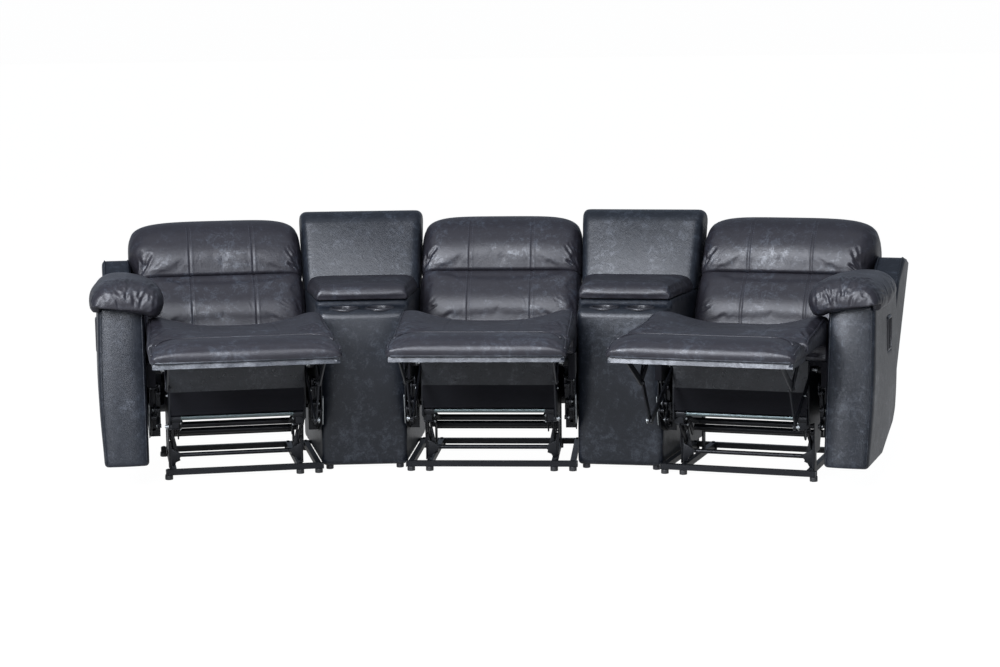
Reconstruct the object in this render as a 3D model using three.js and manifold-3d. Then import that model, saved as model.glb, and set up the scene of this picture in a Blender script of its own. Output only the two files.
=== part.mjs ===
// Curved three-seat reclining sofa with two wedge consoles, footrests out and backs reclined.
// Millimetres, +Z up, the front faces -Y. Every seat and console is drawn in its own frame:
// X across, Y to the back, Z up, with Y = 0 at the front tube of the base.
import * as THREE from 'three';
import { mergeVertices } from 'three/addons/utils/BufferGeometryUtils.js';
import Module from 'manifold-3d';

const wasm = await Module();
wasm.setup();

// Driving dimensions
const arc = { radius: 3555, stepDegrees: 14.88 };
const seatHalf = 310;
const sideGap = 3;
const fit = 0.3;
const overrun = 20;
const foldDegrees = 80;
const leanDegrees = 35;

const foot = { height: 16, radius: 14, overlap: 2, inset: 10 };
const tube = { size: 20 };
const frameRun = { rearY: 462, innerX: 227, outerX: 295, armFootX: 245 };
const riser = { thick: 7, frontY: 47, frontTop: 130, rearY: 345, rearTop: 300, width: 30 };
const stabiliser = { z: 79, radius: 8 };
const rearTubes = { radius: 9, z: 103, thinRadius: 5, thinZ: 135 };

const deck = { frontY: -85, rearY: 425, frontZ: 440, rearZ: 400, thick: 16 };
const apron = { bottomZ: 250, thick: 18, half: 238 };
const rail = { innerX: 285, outerX: 308, drop: 90 };

const plate = { innerX: 240, thick: 4, waistZ: 206, frontWaistY: 14, rearWaistY: 158 };
const plateFin = { frontY: 26, rearY: 116, z: 92 };
const link = { thick: 5, radius: 12 };
const drivePivot = { y: -50, z: 405 };
const noseHinge = { y: -145, z: 550, radius: 59 };
const boardPivot = { y: -455, z: 400 };
const torque = { y: -69, z: 234, radius: 9 };
const backPivot = { y: 400, z: 300, lugRadius: 22 };

const board = { frontY: -642, rearY: -430, bottomZ: 498, thick: 12, half: 300 };
const bracket = { frontY: -635, rearY: -300, width: 22, flange: 24 };
const pad = { proud: 2, frontY: -650, frontZ: 530, rollY: -560, rollZ: 551, creaseY: -436, creaseZ: 539 };
const nose = { gap: 2.7, crestZ: 553, shoulderRise: 46, spareDegrees: 4 };
const seat = { crestY: -60, dipY: 280, rearY: 430, rearTopZ: 455 };

// The back is drawn upright from the bottom of its rear face: T to the front, W up.
const backRoot = { y: 430, z: 171 };
const shell = { thick: 60, height: 650, half: 305 };
const wing = { innerX: 342, outerX: 450, depth: 175, lowDepth: 126, lowRise: 70 };
const wingTop = { depth: 112, fall: 50, shoulderFall: 180, round: 18 };
const lumbar = { gap: 4, lowZ: 262, depth: 208, half: 302, armHalf: 313 };
const head = { drop: 152, rise: 120, depth: 214, half: 304, armHalf: 338 };
const headRear = { overhang: 16, rise: 80 };
const channel = { x: 120, width: 16, depth: 6 };

const arm = { innerX: 318, outerX: 470, bottomZ: 107, topZ: 650, frontTopY: -135, frontBottomY: -215 };
const armRear = { y: 320, lowZ: 215, chamferY: 90, chamferZ: 171, chamferRearY: 288 };
const armPad = { innerX: 248, outerX: 504, height: 88, droop: 22, lip: 6, frontY: -212, rearY: 282 };
const armPadRear = { innerX: 311, outerX: 488, fromY: 60, toY: 250 };
const recess = { y: 140, lowZ: 462, highZ: 572, width: 66, depth: 24 };
const lever = { thick: 5, gap: 4, pinRadius: 5 };

const pedestal = { frontY: 48, rearY: 690, deckZ: 586, rimZ: 610, rimY: 172, footInset: 30, round: 22 };
const bin = { frontY: 204, rearY: 470, wall: 26, floorZ: 330 };
const tray = { frontY: 54, rearY: 170, thick: 6, inset: 12, lip: 2 };
const cup = { y: 112, pitch: 130, bore: 45, wall: 4, depth: 66, floor: 4, relief: 1.5 };
const cupRim = { radius: 56, height: 6, sides: 24 };
const lid = { frontY: 168, rearY: 505, height: 50 };
const panel = { baseY: 512, topY: 642, topZ: 898, thick: 125, round: 34 };
const wedgeInset = 1.5;

const fullTurn = 2 * Math.PI;
const roundSides = 12;
const linkSteps = 5;
const mergeTolerance = 1e-4;
const seatStep = THREE.MathUtils.degToRad(arc.stepDegrees);
const lean = THREE.MathUtils.degToRad(leanDegrees);
const fold = THREE.MathUtils.degToRad(foldDegrees);
const moduleHalf = seatHalf + sideGap;
const plateOuterX = plate.innerX + plate.thick;
const driveX = plateOuterX + fit;
const ottomanX = driveX + link.thick + fit;
const bracketX = ottomanX + link.thick + fit;
const linkOffset = { y: drivePivot.y - noseHinge.y, z: drivePivot.z - noseHinge.z };
const padHalf = seatHalf + pad.proud;
const headSpan = { low: shell.height - head.drop, high: shell.height + head.rise };
const lumbarTop = headSpan.low - lumbar.gap;
const lumbarSpan = { low: lumbar.lowZ, high: lumbarTop };
const knee = { y: boardPivot.y + linkOffset.y, z: boardPivot.z + linkOffset.z };

// Shares, in order round each soft piece: how far across, up or along, and how much is drawn in
const crestPower = 2.2;
const arcSteps = 4;
const endShare = 0.5;
const padRoundness = 0.7;
const padArcSteps = 9;
const edgeShares = [
  { at: -1, draw: 0.42 },
  { at: -0.965, draw: 0.16 },
  { at: -0.86, draw: 0.03 },
  { at: -0.6, draw: 0 },
  { at: 0, draw: 0 },
  { at: 0.6, draw: 0 },
  { at: 0.86, draw: 0.03 },
  { at: 0.965, draw: 0.16 },
  { at: 1, draw: 0.42 },
];
const padLengthShares = [
  { at: 0, size: 0.62 },
  { at: 0.05, size: 0.86 },
  { at: 0.15, size: 0.99 },
  { at: 0.4, size: 1 },
  { at: 0.65, size: 0.96 },
  { at: 0.88, size: 0.9 },
  { at: 0.97, size: 0.8 },
  { at: 1, size: 0.66 },
];
const lumbarShares = [
  [0, 1], [0, 0], [0.45, 0], [0.84, 0.09], [1, 0.32], [0.97, 0.6], [0.82, 0.88], [0.5, 1],
];
const headShares = [
  [0, 0], [0.55, 0], [0.9, 0.08], [1, 0.27], [0.95, 0.55], [0.72, 0.82], [0.36, 0.97], [0.02, 1],
];
const lidShares = [
  [1, 0], [0.03, 0], [0, 0.22], [0.005, 0.66], [0.06, 0.94], [0.16, 1], [0.6, 1], [1, 0.96],
];

// Finishes
const leather = { color: 0x17181c, roughness: 0.45, metalness: 0 };
const seatLeather = { color: 0x1c1a1c, roughness: 0.42, metalness: 0 };
const steel = { color: 0x0c0d0f, roughness: 0.35, metalness: 0.6 };
const plastic = { color: 0x0a0a0b, roughness: 0.3, metalness: 0 };
const timber = { color: 0x0e0e10, roughness: 0.8, metalness: 0 };

// Solid helpers
function toSolid(geometry) {
  const plain = geometry.clone();
  plain.deleteAttribute('normal');
  plain.deleteAttribute('uv');
  const merged = mergeVertices(plain, mergeTolerance);
  const indices = merged.index.array;
  return new wasm.Manifold(new wasm.Mesh({
    numProp: 3,
    vertProperties: new Float32Array(merged.attributes.position.array),
    triVerts: new Uint32Array(indices),
  }));
}

function toGeometry(solid) {
  const mesh = solid.getMesh();
  const geometry = new THREE.BufferGeometry();
  const count = mesh.vertProperties.length / mesh.numProp;
  const positions = new Float32Array(count * 3);
  for (let i = 0; i < count; i += 1) {
    for (let axis = 0; axis < 3; axis += 1) {
      positions[i * 3 + axis] = mesh.vertProperties[i * mesh.numProp + axis];
    }
  }
  geometry.setAttribute('position', new THREE.BufferAttribute(positions, 3));
  geometry.setIndex(new THREE.BufferAttribute(new Uint32Array(mesh.triVerts), 1));
  return geometry;
}

function joined(...geometries) {
  return toGeometry(geometries.map(toSolid).reduce((whole, next) => whole.add(next)));
}

function cutBy(geometry, ...tools) {
  return toGeometry(tools.map(toSolid).reduce((whole, next) => whole.subtract(next), toSolid(geometry)));
}

function common(a, b) {
  return toGeometry(toSolid(a).intersect(toSolid(b)));
}

function box(x0, x1, y0, y1, z0, z1) {
  const geometry = new THREE.BoxGeometry(x1 - x0, y1 - y0, z1 - z0);
  return geometry.translate((x0 + x1) / 2, (y0 + y1) / 2, (z0 + z1) / 2);
}

// An outline of [y, z] points, extruded across from x0 to x1
function across(outline, x0, x1) {
  const shape = new THREE.Shape(outline.map(([y, z]) => new THREE.Vector2(y, z)));
  const geometry = new THREE.ExtrudeGeometry(shape, { depth: x1 - x0, bevelEnabled: false });
  const turn = new THREE.Matrix4().set(0, 0, 1, x0, 1, 0, 0, 0, 0, 1, 0, 0, 0, 0, 0, 1);
  return geometry.applyMatrix4(turn);
}

// An outline of [x, y] points, extruded up from z0 to z1
function upward(outline, z0, z1) {
  const shape = new THREE.Shape(outline.map(([x, y]) => new THREE.Vector2(x, y)));
  const geometry = new THREE.ExtrudeGeometry(shape, { depth: z1 - z0, bevelEnabled: false });
  return geometry.translate(0, 0, z0);
}

function barAcross(radius, x0, x1, y, z) {
  return across(arcPoints(y, z, radius, 0, fullTurn, roundSides).slice(1), x0, x1);
}

function post(radius, x, y, z0, z1, sides = roundSides) {
  const geometry = new THREE.CylinderGeometry(radius, radius, z1 - z0, sides);
  return geometry.rotateX(fullTurn / 4).translate(x, y, (z0 + z1) / 2);
}

function arcPoints(y, z, radius, from, to, steps) {
  const points = [];
  for (let i = 0; i <= steps; i += 1) {
    const angle = from + ((to - from) * i) / steps;
    points.push([y + radius * Math.cos(angle), z + radius * Math.sin(angle)]);
  }
  return points;
}

// A flat link with round ends about two pins
function linkOutline(a, b, radius) {
  const heading = Math.atan2(b.z - a.z, b.y - a.y);
  const quarter = fullTurn / 4;
  return [
    ...arcPoints(b.y, b.z, radius, heading - quarter, heading + quarter, linkSteps),
    ...arcPoints(a.y, a.z, radius, heading + quarter, heading + 3 * quarter, linkSteps),
  ];
}

// A closed skin through rings of equal length, with flat ends; the rings run from -X to +X
function skin(rings) {
  const positions = rings.flat(2);
  const size = rings[0].length;
  const index = [];
  for (let r = 0; r < rings.length - 1; r += 1) {
    for (let i = 0; i < size; i += 1) {
      const a = r * size + i;
      const b = r * size + ((i + 1) % size);
      index.push(a, b, b + size, a, b + size, a + size);
    }
  }
  const end = (rings.length - 1) * size;
  for (const [a, b, c] of endFaces(rings[0])) {
    index.push(a, c, b);
    index.push(end + a, end + b, end + c);
  }
  const geometry = new THREE.BufferGeometry();
  geometry.setAttribute('position', new THREE.Float32BufferAttribute(positions, 3));
  geometry.setIndex(index);
  return facingOut(geometry);
}

function endFaces(ring) {
  const flat = ring.map((p) => new THREE.Vector2(p[1], p[2]));
  const spread = Math.max(...ring.map((p) => p[0])) - Math.min(...ring.map((p) => p[0]));
  const upright = Math.max(...ring.map((p) => p[1])) - Math.min(...ring.map((p) => p[1])) < spread;
  const points = upright ? ring.map((p) => new THREE.Vector2(p[0], p[2])) : flat;
  const faces = THREE.ShapeUtils.triangulateShape(points, []);
  return faces.map((face) => orderedFace(face, points));
}

function orderedFace([a, b, c], points) {
  const ab = points[b].clone().sub(points[a]);
  const ac = points[c].clone().sub(points[a]);
  const ringTurn = Math.sign(THREE.ShapeUtils.area(points));
  return Math.sign(ab.cross(ac)) === ringTurn ? [a, b, c] : [a, c, b];
}

function facingOut(geometry) {
  const position = geometry.attributes.position;
  const index = geometry.index.array;
  const corner = [new THREE.Vector3(), new THREE.Vector3(), new THREE.Vector3()];
  let volume = 0;
  for (let i = 0; i < index.length; i += 3) {
    corner.forEach((point, k) => point.fromBufferAttribute(position, index[i + k]));
    volume += corner[0].dot(corner[1].clone().cross(corner[2]));
  }
  if (volume < 0) {
    for (let i = 0; i < index.length; i += 3) {
      [index[i], index[i + 1]] = [index[i + 1], index[i]];
    }
  }
  return geometry;
}

function named(name, geometry, finish) {
  const mesh = new THREE.Mesh(geometry, new THREE.MeshStandardMaterial(finish));
  mesh.name = name;
  return mesh;
}

// Left of centre for a negative side: an interval across, mirrored
function span(side, near, far) {
  return side > 0 ? [near, far] : [-far, -near];
}

function deckTop(y) {
  const fall = (deck.rearZ - deck.frontZ) / (deck.rearY - deck.frontY);
  return deck.frontZ + fall * (y - deck.frontY);
}

function deckUnder(y) {
  return deckTop(y) - deck.thick;
}

// Base frame: a ladder of square tube on feet, with risers, a stabiliser and two rear tubes
function baseFrame(armSide) {
  const half = tube.size / 2;
  const top = foot.height + tube.size;
  const ends = [-1, 1].map((side) => side * (side === armSide
    ? frameRun.armFootX + foot.inset
    : moduleHalf - fit));
  const solids = [0, frameRun.rearY].map((y) => box(ends[0], ends[1], y - half, y + half, foot.height, top));
  for (const side of [-1, 1]) {
    const open = side !== armSide;
    const rails = open ? [frameRun.innerX, frameRun.outerX] : [frameRun.innerX];
    const feet = open ? rails : [frameRun.armFootX];
    for (const x of rails) {
      const middle = side * x;
      solids.push(box(middle - half, middle + half, 0, frameRun.rearY, foot.height, top));
    }
    for (const x of feet) {
      for (const y of [0, frameRun.rearY]) {
        solids.push(post(foot.radius, side * x, y, 0, foot.height + foot.overlap));
      }
    }
    solids.push(riserPlate(side, riser.frontY, riser.frontTop, top));
    solids.push(riserPlate(side, riser.rearY, riser.rearTop, top));
  }
  const reach = plate.innerX - fit - riser.thick / 2;
  solids.push(barAcross(stabiliser.radius, -reach, reach, riser.frontY, stabiliser.z));
  solids.push(barAcross(rearTubes.radius, -reach, reach, riser.rearY, rearTubes.z));
  solids.push(barAcross(rearTubes.thinRadius, -reach, reach, riser.rearY, rearTubes.thinZ));
  return joined(...solids);
}

function riserPlate(side, y, topZ, tubeTop) {
  const [x0, x1] = span(side, plate.innerX - fit - riser.thick, plate.innerX - fit);
  return box(x0, x1, y - riser.width / 2, y + riser.width / 2, tubeTop - tube.size / 2, topZ);
}

// Mechanism: plates, torque tube and the links of the footrest
function mechanismPlate(side) {
  const rearY = backPivot.y + backPivot.lugRadius;
  const outline = [
    [deck.frontY, deckUnder(deck.frontY) - fit],
    [deck.frontY, torque.z - 2 * torque.radius],
    [plate.frontWaistY, plate.waistZ],
    [plateFin.frontY, plateFin.z],
    [plateFin.rearY, plateFin.z],
    [plate.rearWaistY, plate.waistZ],
    [rearY, backPivot.z - backPivot.lugRadius],
    [rearY, deckUnder(rearY) - fit],
  ];
  return across(outline, ...span(side, plate.innerX, plateOuterX));
}

function torqueTube() {
  const reach = plate.innerX - fit;
  return barAcross(torque.radius, -reach, reach, torque.y, torque.z);
}

function driveLink(side) {
  return across(linkOutline(drivePivot, knee, link.radius), ...span(side, driveX, driveX + link.thick));
}

function ottomanLink(side) {
  return across(linkOutline(knee, boardPivot, link.radius), ...span(side, ottomanX, ottomanX + link.thick));
}

// Seat box: sloping deck, front apron and side rails; a rail is packed out to reach an arm
function seatBox(armSide) {
  const middle = deck.thick / 2;
  const deckOutline = [
    [deck.frontY, deckUnder(deck.frontY)],
    [deck.rearY, deckUnder(deck.rearY)],
    [deck.rearY, deckTop(deck.rearY)],
    [deck.frontY, deckTop(deck.frontY)],
  ];
  const railOutline = [
    [deck.frontY, deckTop(deck.frontY) - rail.drop],
    [deck.rearY, deckTop(deck.rearY) - rail.drop],
    [deck.rearY, deckTop(deck.rearY) - middle],
    [deck.frontY, deckTop(deck.frontY) - middle],
  ];
  const solids = [
    across(deckOutline, -rail.outerX, rail.outerX),
    box(-apron.half, apron.half, deck.frontY, deck.frontY + apron.thick, apron.bottomZ, deck.frontZ - middle),
  ];
  for (const side of [-1, 1]) {
    const outer = side === armSide ? arm.innerX - fit : rail.outerX;
    solids.push(across(railOutline, ...span(side, rail.innerX, outer)));
  }
  return joined(...solids);
}

// Footrest: a board with a V bracket at each side, and a chaise pad that wraps round the seat's nose
function footrestBoard() {
  const top = board.bottomZ + board.thick;
  const inset = board.thick / 2;
  const solids = [box(-board.half, board.half, board.frontY, board.rearY, board.bottomZ, top)];
  const vee = [
    [bracket.frontY, board.bottomZ + inset],
    [bracket.frontY, board.bottomZ - inset],
    [boardPivot.y - link.radius, boardPivot.z - inset],
    [boardPivot.y, boardPivot.z - link.radius],
    [boardPivot.y + link.radius, boardPivot.z - inset],
    [bracket.rearY, board.bottomZ - inset],
    [bracket.rearY, board.bottomZ + inset],
    [bracket.rearY - bracket.width, board.bottomZ + inset],
    [boardPivot.y, boardPivot.z + bracket.width],
    [bracket.frontY + bracket.width, board.bottomZ + inset],
  ];
  for (const side of [-1, 1]) {
    const flange = span(side, bracketX, bracketX + bracket.flange);
    solids.push(across(vee, ...span(side, bracketX, bracketX + link.thick)));
    solids.push(box(...flange, bracket.frontY, bracket.rearY, board.bottomZ, top));
  }
  return joined(...solids);
}

const padBottomZ = board.bottomZ + board.thick + fit;
const padArcRadius = noseHinge.radius + nose.gap;

// Height of the saddle at the nose: low in the middle, with a shoulder at each side
function crestAt(x) {
  return nose.crestZ + nose.shoulderRise * (Math.abs(x) / seatHalf) ** crestPower;
}

function noseTopAngle(radius, crest) {
  return fullTurn / 2 - Math.asin((crest - noseHinge.z) / radius);
}

// How much a soft piece is drawn in at each place across it
function stations(low, high, grooves = []) {
  const list = [];
  for (const share of edgeShares) {
    const x = (low + high) / 2 + (share.at * (high - low)) / 2;
    list.push({ x, draw: share.draw, groove: 0 });
  }
  for (const x of grooves) {
    list.push({ x: x - channel.width / 2, draw: 0, groove: 0 });
    list.push({ x, draw: 0, groove: channel.depth });
    list.push({ x: x + channel.width / 2, draw: 0, groove: 0 });
  }
  return list.sort((a, b) => a.x - b.x);
}

function footrestPad() {
  const lowAngle = fullTurn / 2 + Math.asin((noseHinge.z - padBottomZ) / padArcRadius);
  const rings = stations(-padHalf, padHalf).map(({ x, draw }) => {
    const crest = crestAt(x * seatHalf / padHalf) - draw * (nose.shoulderRise / 2);
    const drawn = (z) => padBottomZ + (z - padBottomZ) * (1 - draw);
    const endArc = noseTopAngle(padArcRadius, crest);
    const rearArc = arcPoints(noseHinge.y, noseHinge.z, padArcRadius, lowAngle, endArc, arcSteps);
    const tip = rearArc[rearArc.length - 1];
    const middleY = (tip[0] + pad.creaseY) / 2;
    const middleZ = (tip[1] + drawn(pad.creaseZ)) / 2;
    const front = pad.frontY + draw * (pad.rollZ - pad.frontZ);
    return [
      ...rearArc,
      [middleY, middleZ],
      [pad.creaseY, drawn(pad.creaseZ)],
      [pad.rollY, drawn(pad.rollZ)],
      [front + board.thick, drawn(pad.frontZ + board.thick / 2)],
      [front, drawn((pad.frontZ + padBottomZ) / 2)],
      [front + board.thick / 2, padBottomZ],
    ].map(([y, z]) => [x, y, z]);
  });
  return skin(rings);
}

function seatCushion() {
  const radius = noseHinge.radius;
  const closedAngle = fullTurn / 2 + Math.asin((noseHinge.z - padBottomZ) / padArcRadius) + fold;
  const startArc = closedAngle + THREE.MathUtils.degToRad(nose.spareDegrees);
  const rings = stations(-seatHalf, seatHalf).map(({ x, draw }) => {
    const crest = crestAt(x) - draw * (nose.shoulderRise / 2);
    const rise = (crest - nose.crestZ) / 2;
    const noseArc = arcPoints(noseHinge.y, noseHinge.z, radius, startArc, noseTopAngle(radius, crest), arcSteps);
    const rearTop = seat.rearTopZ - draw * (seat.rearTopZ - deckTop(seat.rearY)) / 2;
    return [
      [seat.rearY, deckTop(seat.rearY) + fit],
      [deck.frontY, deckTop(deck.frontY) + fit],
      [deck.frontY, noseArc[0][1]],
      ...noseArc,
      [seat.crestY, crest - draw * radius / 4],
      [(seat.crestY + seat.dipY) / 2, (nose.crestZ + rearTop) / 2 + rise],
      [seat.dipY, rearTop],
      [seat.rearY - deck.thick, rearTop],
      [seat.rearY, rearTop - deck.thick],
    ].map(([y, z]) => [x, y, z]);
  });
  return skin(rings);
}

// Back: the rear shell, with a wing behind an arm, and two crowned cushions
function onBack(t, w) {
  return [
    backRoot.y + w * Math.sin(lean) - t * Math.cos(lean),
    backRoot.z + w * Math.cos(lean) + t * Math.sin(lean),
  ];
}

function backFrame(armSide) {
  const outline = [[0, 0], [0, shell.height], [shell.thick, shell.height], [shell.thick, 0]];
  const reach = (side) => side * (side === armSide ? wing.innerX + shell.thick / 2 : shell.half);
  const solids = [across(outline.map(([t, w]) => onBack(t, w)), reach(-1), reach(1))];
  if (armSide) {
    const wingOutline = [
      [0, 0],
      [0, shell.height - wingTop.round],
      [wingTop.round, shell.height],
      [wingTop.depth - wingTop.round, shell.height - wingTop.fall + wingTop.round / 2],
      [wingTop.depth, shell.height - wingTop.fall - wingTop.round / 2],
      [wing.depth, shell.height - wingTop.shoulderFall],
      [wing.depth, wing.lowRise],
      [wing.lowDepth, 0],
    ];
    const run = span(armSide, wing.innerX, wing.outerX);
    solids.push(across(wingOutline.map(([t, w]) => onBack(t, w)), ...run));
  }
  for (const side of [-1, 1]) {
    solids.push(backLug(side));
  }
  return joined(...solids);
}

function backLug(side) {
  const radius = backPivot.lugRadius;
  const away = -lean;
  const eye = arcPoints(backPivot.y, backPivot.z, radius, fullTurn / 4 + away, 3 * fullTurn / 4 + away, linkSteps);
  const rootY = radius * 2 + shell.thick;
  const lift = [rootY * Math.cos(away), rootY * Math.sin(away)];
  const low = eye[eye.length - 1];
  const high = eye[0];
  const outline = [...eye, [low[0] + lift[0], low[1] + lift[1]], [high[0] + lift[0], high[1] + lift[1]]];
  return across(outline, ...span(side, driveX, driveX + link.thick));
}

function backCushion(size, level, armSide, shares, extra) {
  const face = shell.thick + fit;
  const depth = size.depth - face;
  const rise = level.high - level.low;
  const reach = (side) => side * (side === armSide ? size.armHalf : size.half);
  const rings = stations(reach(-1), reach(1), [-channel.x, channel.x]).map(({ x, draw, groove }) => {
    const keep = 1 - draw - groove / depth;
    const front = shares.map(([t, w]) => {
      const drawnW = endShare + (w - endShare) * (1 - draw / 2);
      return [face + t * depth * keep, level.low + (t > 0 ? drawnW : w) * rise];
    });
    return [...front, ...extra].map(([t, w]) => [x, ...onBack(t, w)]);
  });
  return skin(rings);
}

function lumbarCushion(armSide) {
  return backCushion(lumbar, lumbarSpan, armSide, lumbarShares, []);
}

function headCushion(armSide) {
  const rest = shell.height + fit;
  const rear = -headRear.overhang;
  const extra = [[rear, shell.height + headRear.rise], [rear, rest], [shell.thick + fit, rest]];
  return backCushion(head, headSpan, armSide, headShares, extra);
}

// Arm: the body, its pad and the release lever in a recess of its outer side
function armBody(side) {
  const outline = [
    [arm.frontBottomY, arm.bottomZ],
    [armRear.chamferY, arm.bottomZ],
    [armRear.chamferRearY, armRear.chamferZ],
    [armRear.y, armRear.lowZ],
    [armRear.y, arm.topZ],
    [arm.frontTopY, arm.topZ],
  ];
  const body = across(outline, ...span(side, arm.innerX, arm.outerX));
  const half = recess.width / 2;
  const hole = span(side, arm.outerX - recess.depth, arm.outerX + overrun);
  return cutBy(body, box(...hole, recess.y - half, recess.y + half, recess.lowZ, recess.highZ));
}

function releaseLever(side) {
  const half = recess.width / 2;
  const pinX = arm.outerX - recess.depth + lever.pinRadius + fit;
  const pinY = recess.y - half + lever.pinRadius + fit;
  const low = recess.lowZ + lever.gap;
  const high = recess.highZ - lever.gap;
  const paddle = span(side, pinX, pinX + lever.thick);
  return joined(
    post(lever.pinRadius, side * pinX, pinY, low, high),
    box(...paddle, pinY, recess.y + half - lever.gap, low, high),
  );
}

function armPadSkin(side) {
  const rings = padLengthShares.map(({ at, size }) => {
    const y = armPad.frontY + at * (armPad.rearY - armPad.frontY);
    const taper = THREE.MathUtils.clamp((y - armPadRear.fromY) / (armPadRear.toY - armPadRear.fromY), 0, 1);
    const inner = THREE.MathUtils.lerp(armPad.innerX, armPadRear.innerX, taper);
    const outer = THREE.MathUtils.lerp(armPad.outerX, armPadRear.outerX, taper);
    return padRing(side, y, inner, outer, size);
  });
  return skin(rings);
}

// The pad's crown over the arm, with a lip that hangs down beyond each side of it
function padRing(side, y, inner, outer, size) {
  const base = arm.topZ + fit;
  const low = base - armPad.droop * size;
  const notch = { inner: arm.innerX - fit, outer: arm.outerX + fit };
  const innerX = THREE.MathUtils.lerp(notch.inner - armPad.lip, inner, size);
  const outerX = THREE.MathUtils.lerp(notch.outer + armPad.lip, outer, size);
  const middle = (innerX + outerX) / 2;
  const half = (outerX - innerX) / 2;
  const ring = [[notch.inner, base], [notch.outer, base], [notch.outer, low], [outerX - armPad.lip / 2, low]];
  for (let i = 0; i <= padArcSteps; i += 1) {
    const angle = (fullTurn / 2) * (i / padArcSteps);
    const reach = Math.sign(Math.cos(angle)) * Math.abs(Math.cos(angle)) ** padRoundness;
    const up = Math.abs(Math.sin(angle)) ** padRoundness;
    ring.push([middle + half * reach, base + armPad.height * size * up]);
  }
  ring.push([innerX + armPad.lip / 2, low], [notch.inner, low]);
  return ring.map(([x, z]) => [side * x, y, z]);
}

// Console: a wedge between two seats, whose sides lie along the seats' own side planes
function wedgeHalf(y) {
  return (arc.radius + y) * Math.tan(seatStep / 2) - moduleHalf / Math.cos(seatStep / 2);
}

function wedgePlan(y0, y1, inset, z0, z1) {
  const corners = [
    [-wedgeHalf(y0) + inset, y0],
    [wedgeHalf(y0) - inset, y0],
    [wedgeHalf(y1) - inset, y1],
    [-wedgeHalf(y1) + inset, y1],
  ];
  return upward(corners, z0, z1);
}

function wedgeReach(y) {
  return wedgeHalf(y) + overrun;
}

function consoleBody() {
  const top = pedestal.deckZ;
  const quarter = fullTurn / 4;
  const nosing = arcPoints(
    pedestal.frontY + pedestal.round,
    top - pedestal.round,
    pedestal.round,
    quarter,
    2 * quarter,
    linkSteps,
  );
  const outline = [
    [pedestal.rearY, foot.height],
    [pedestal.rearY, pedestal.rimZ],
    [pedestal.rimY, pedestal.rimZ],
    [pedestal.rimY, top],
    ...nosing,
    [pedestal.frontY, foot.height],
  ];
  const reach = wedgeReach(pedestal.rearY);
  const plan = wedgePlan(pedestal.frontY, pedestal.rearY, 0, 0, pedestal.rimZ + overrun);
  const body = common(across(outline, -reach, reach), plan);
  const holes = [
    wedgePlan(bin.frontY, bin.rearY, bin.wall, bin.floorZ, pedestal.rimZ + overrun),
    wedgePlan(tray.frontY, tray.rearY, tray.inset - fit, top + tray.lip - tray.thick - fit, top + overrun),
  ];
  for (const side of [-1, 1]) {
    const radius = cup.bore + cup.wall + cup.relief;
    const floor = top - cup.depth - fit;
    holes.push(post(radius, side * cup.pitch / 2, cup.y, floor, top + overrun, cupRim.sides));
  }
  return joined(cutBy(body, ...holes), ...consoleFeet());
}

function consoleFeet() {
  const feet = [];
  for (const y of [pedestal.frontY + pedestal.footInset, pedestal.rearY - pedestal.footInset]) {
    for (const side of [-1, 1]) {
      const x = side * (wedgeHalf(y) - pedestal.footInset);
      feet.push(post(foot.radius, x, y, 0, foot.height + foot.overlap));
    }
  }
  return feet;
}

function cupTray() {
  const top = pedestal.deckZ + tray.lip;
  const low = pedestal.deckZ - cup.depth;
  const sheet = wedgePlan(tray.frontY + fit, tray.rearY - fit, tray.inset, top - tray.thick, top);
  const cups = [-1, 1].map((side) => side * cup.pitch / 2);
  const sides = cupRim.sides;
  const walls = cups.map((x) => post(cup.bore + cup.wall, x, cup.y, low, top - tray.lip, sides));
  const rims = cups.map((x) => post(cupRim.radius, x, cup.y, top - tray.lip, top + cupRim.height, sides));
  const bores = cups.map((x) => post(cup.bore, x, cup.y, low + cup.floor, top + overrun, sides));
  return cutBy(joined(sheet, ...walls, ...rims), ...bores);
}

function consoleLid() {
  const base = pedestal.rimZ + fit;
  const run = lid.rearY - lid.frontY;
  const rings = edgeShares.map(({ at, draw }) => lidShares.map(([back, up]) => {
    const y = lid.frontY + back * run;
    const z = base + up * lid.height * (1 - draw * (up > endShare ? endShare : 0));
    return [at * (wedgeHalf(y) - wedgeInset), y, z];
  }));
  return skin(rings);
}

function consolePanel() {
  const base = pedestal.rimZ + fit;
  const outline = [
    [panel.baseY, base],
    [pedestal.rearY, base],
    [panel.topY + panel.thick, panel.topZ - panel.round],
    [panel.topY + panel.thick - panel.round, panel.topZ],
    [panel.topY + panel.round, panel.topZ],
    [panel.topY - panel.round / 4, panel.topZ - panel.round],
  ];
  const rear = panel.topY + panel.thick;
  const plan = wedgePlan(panel.baseY - overrun, rear + overrun, wedgeInset, base - overrun, panel.topZ + overrun);
  const reach = wedgeReach(rear);
  return common(across(outline, -reach, reach), plan);
}

// The whole sofa
function aroundArc(turn) {
  const group = new THREE.Group();
  group.rotation.z = turn;
  group.position.set(-arc.radius * Math.sin(turn), arc.radius * Math.cos(turn) - arc.radius, 0);
  return group;
}

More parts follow.
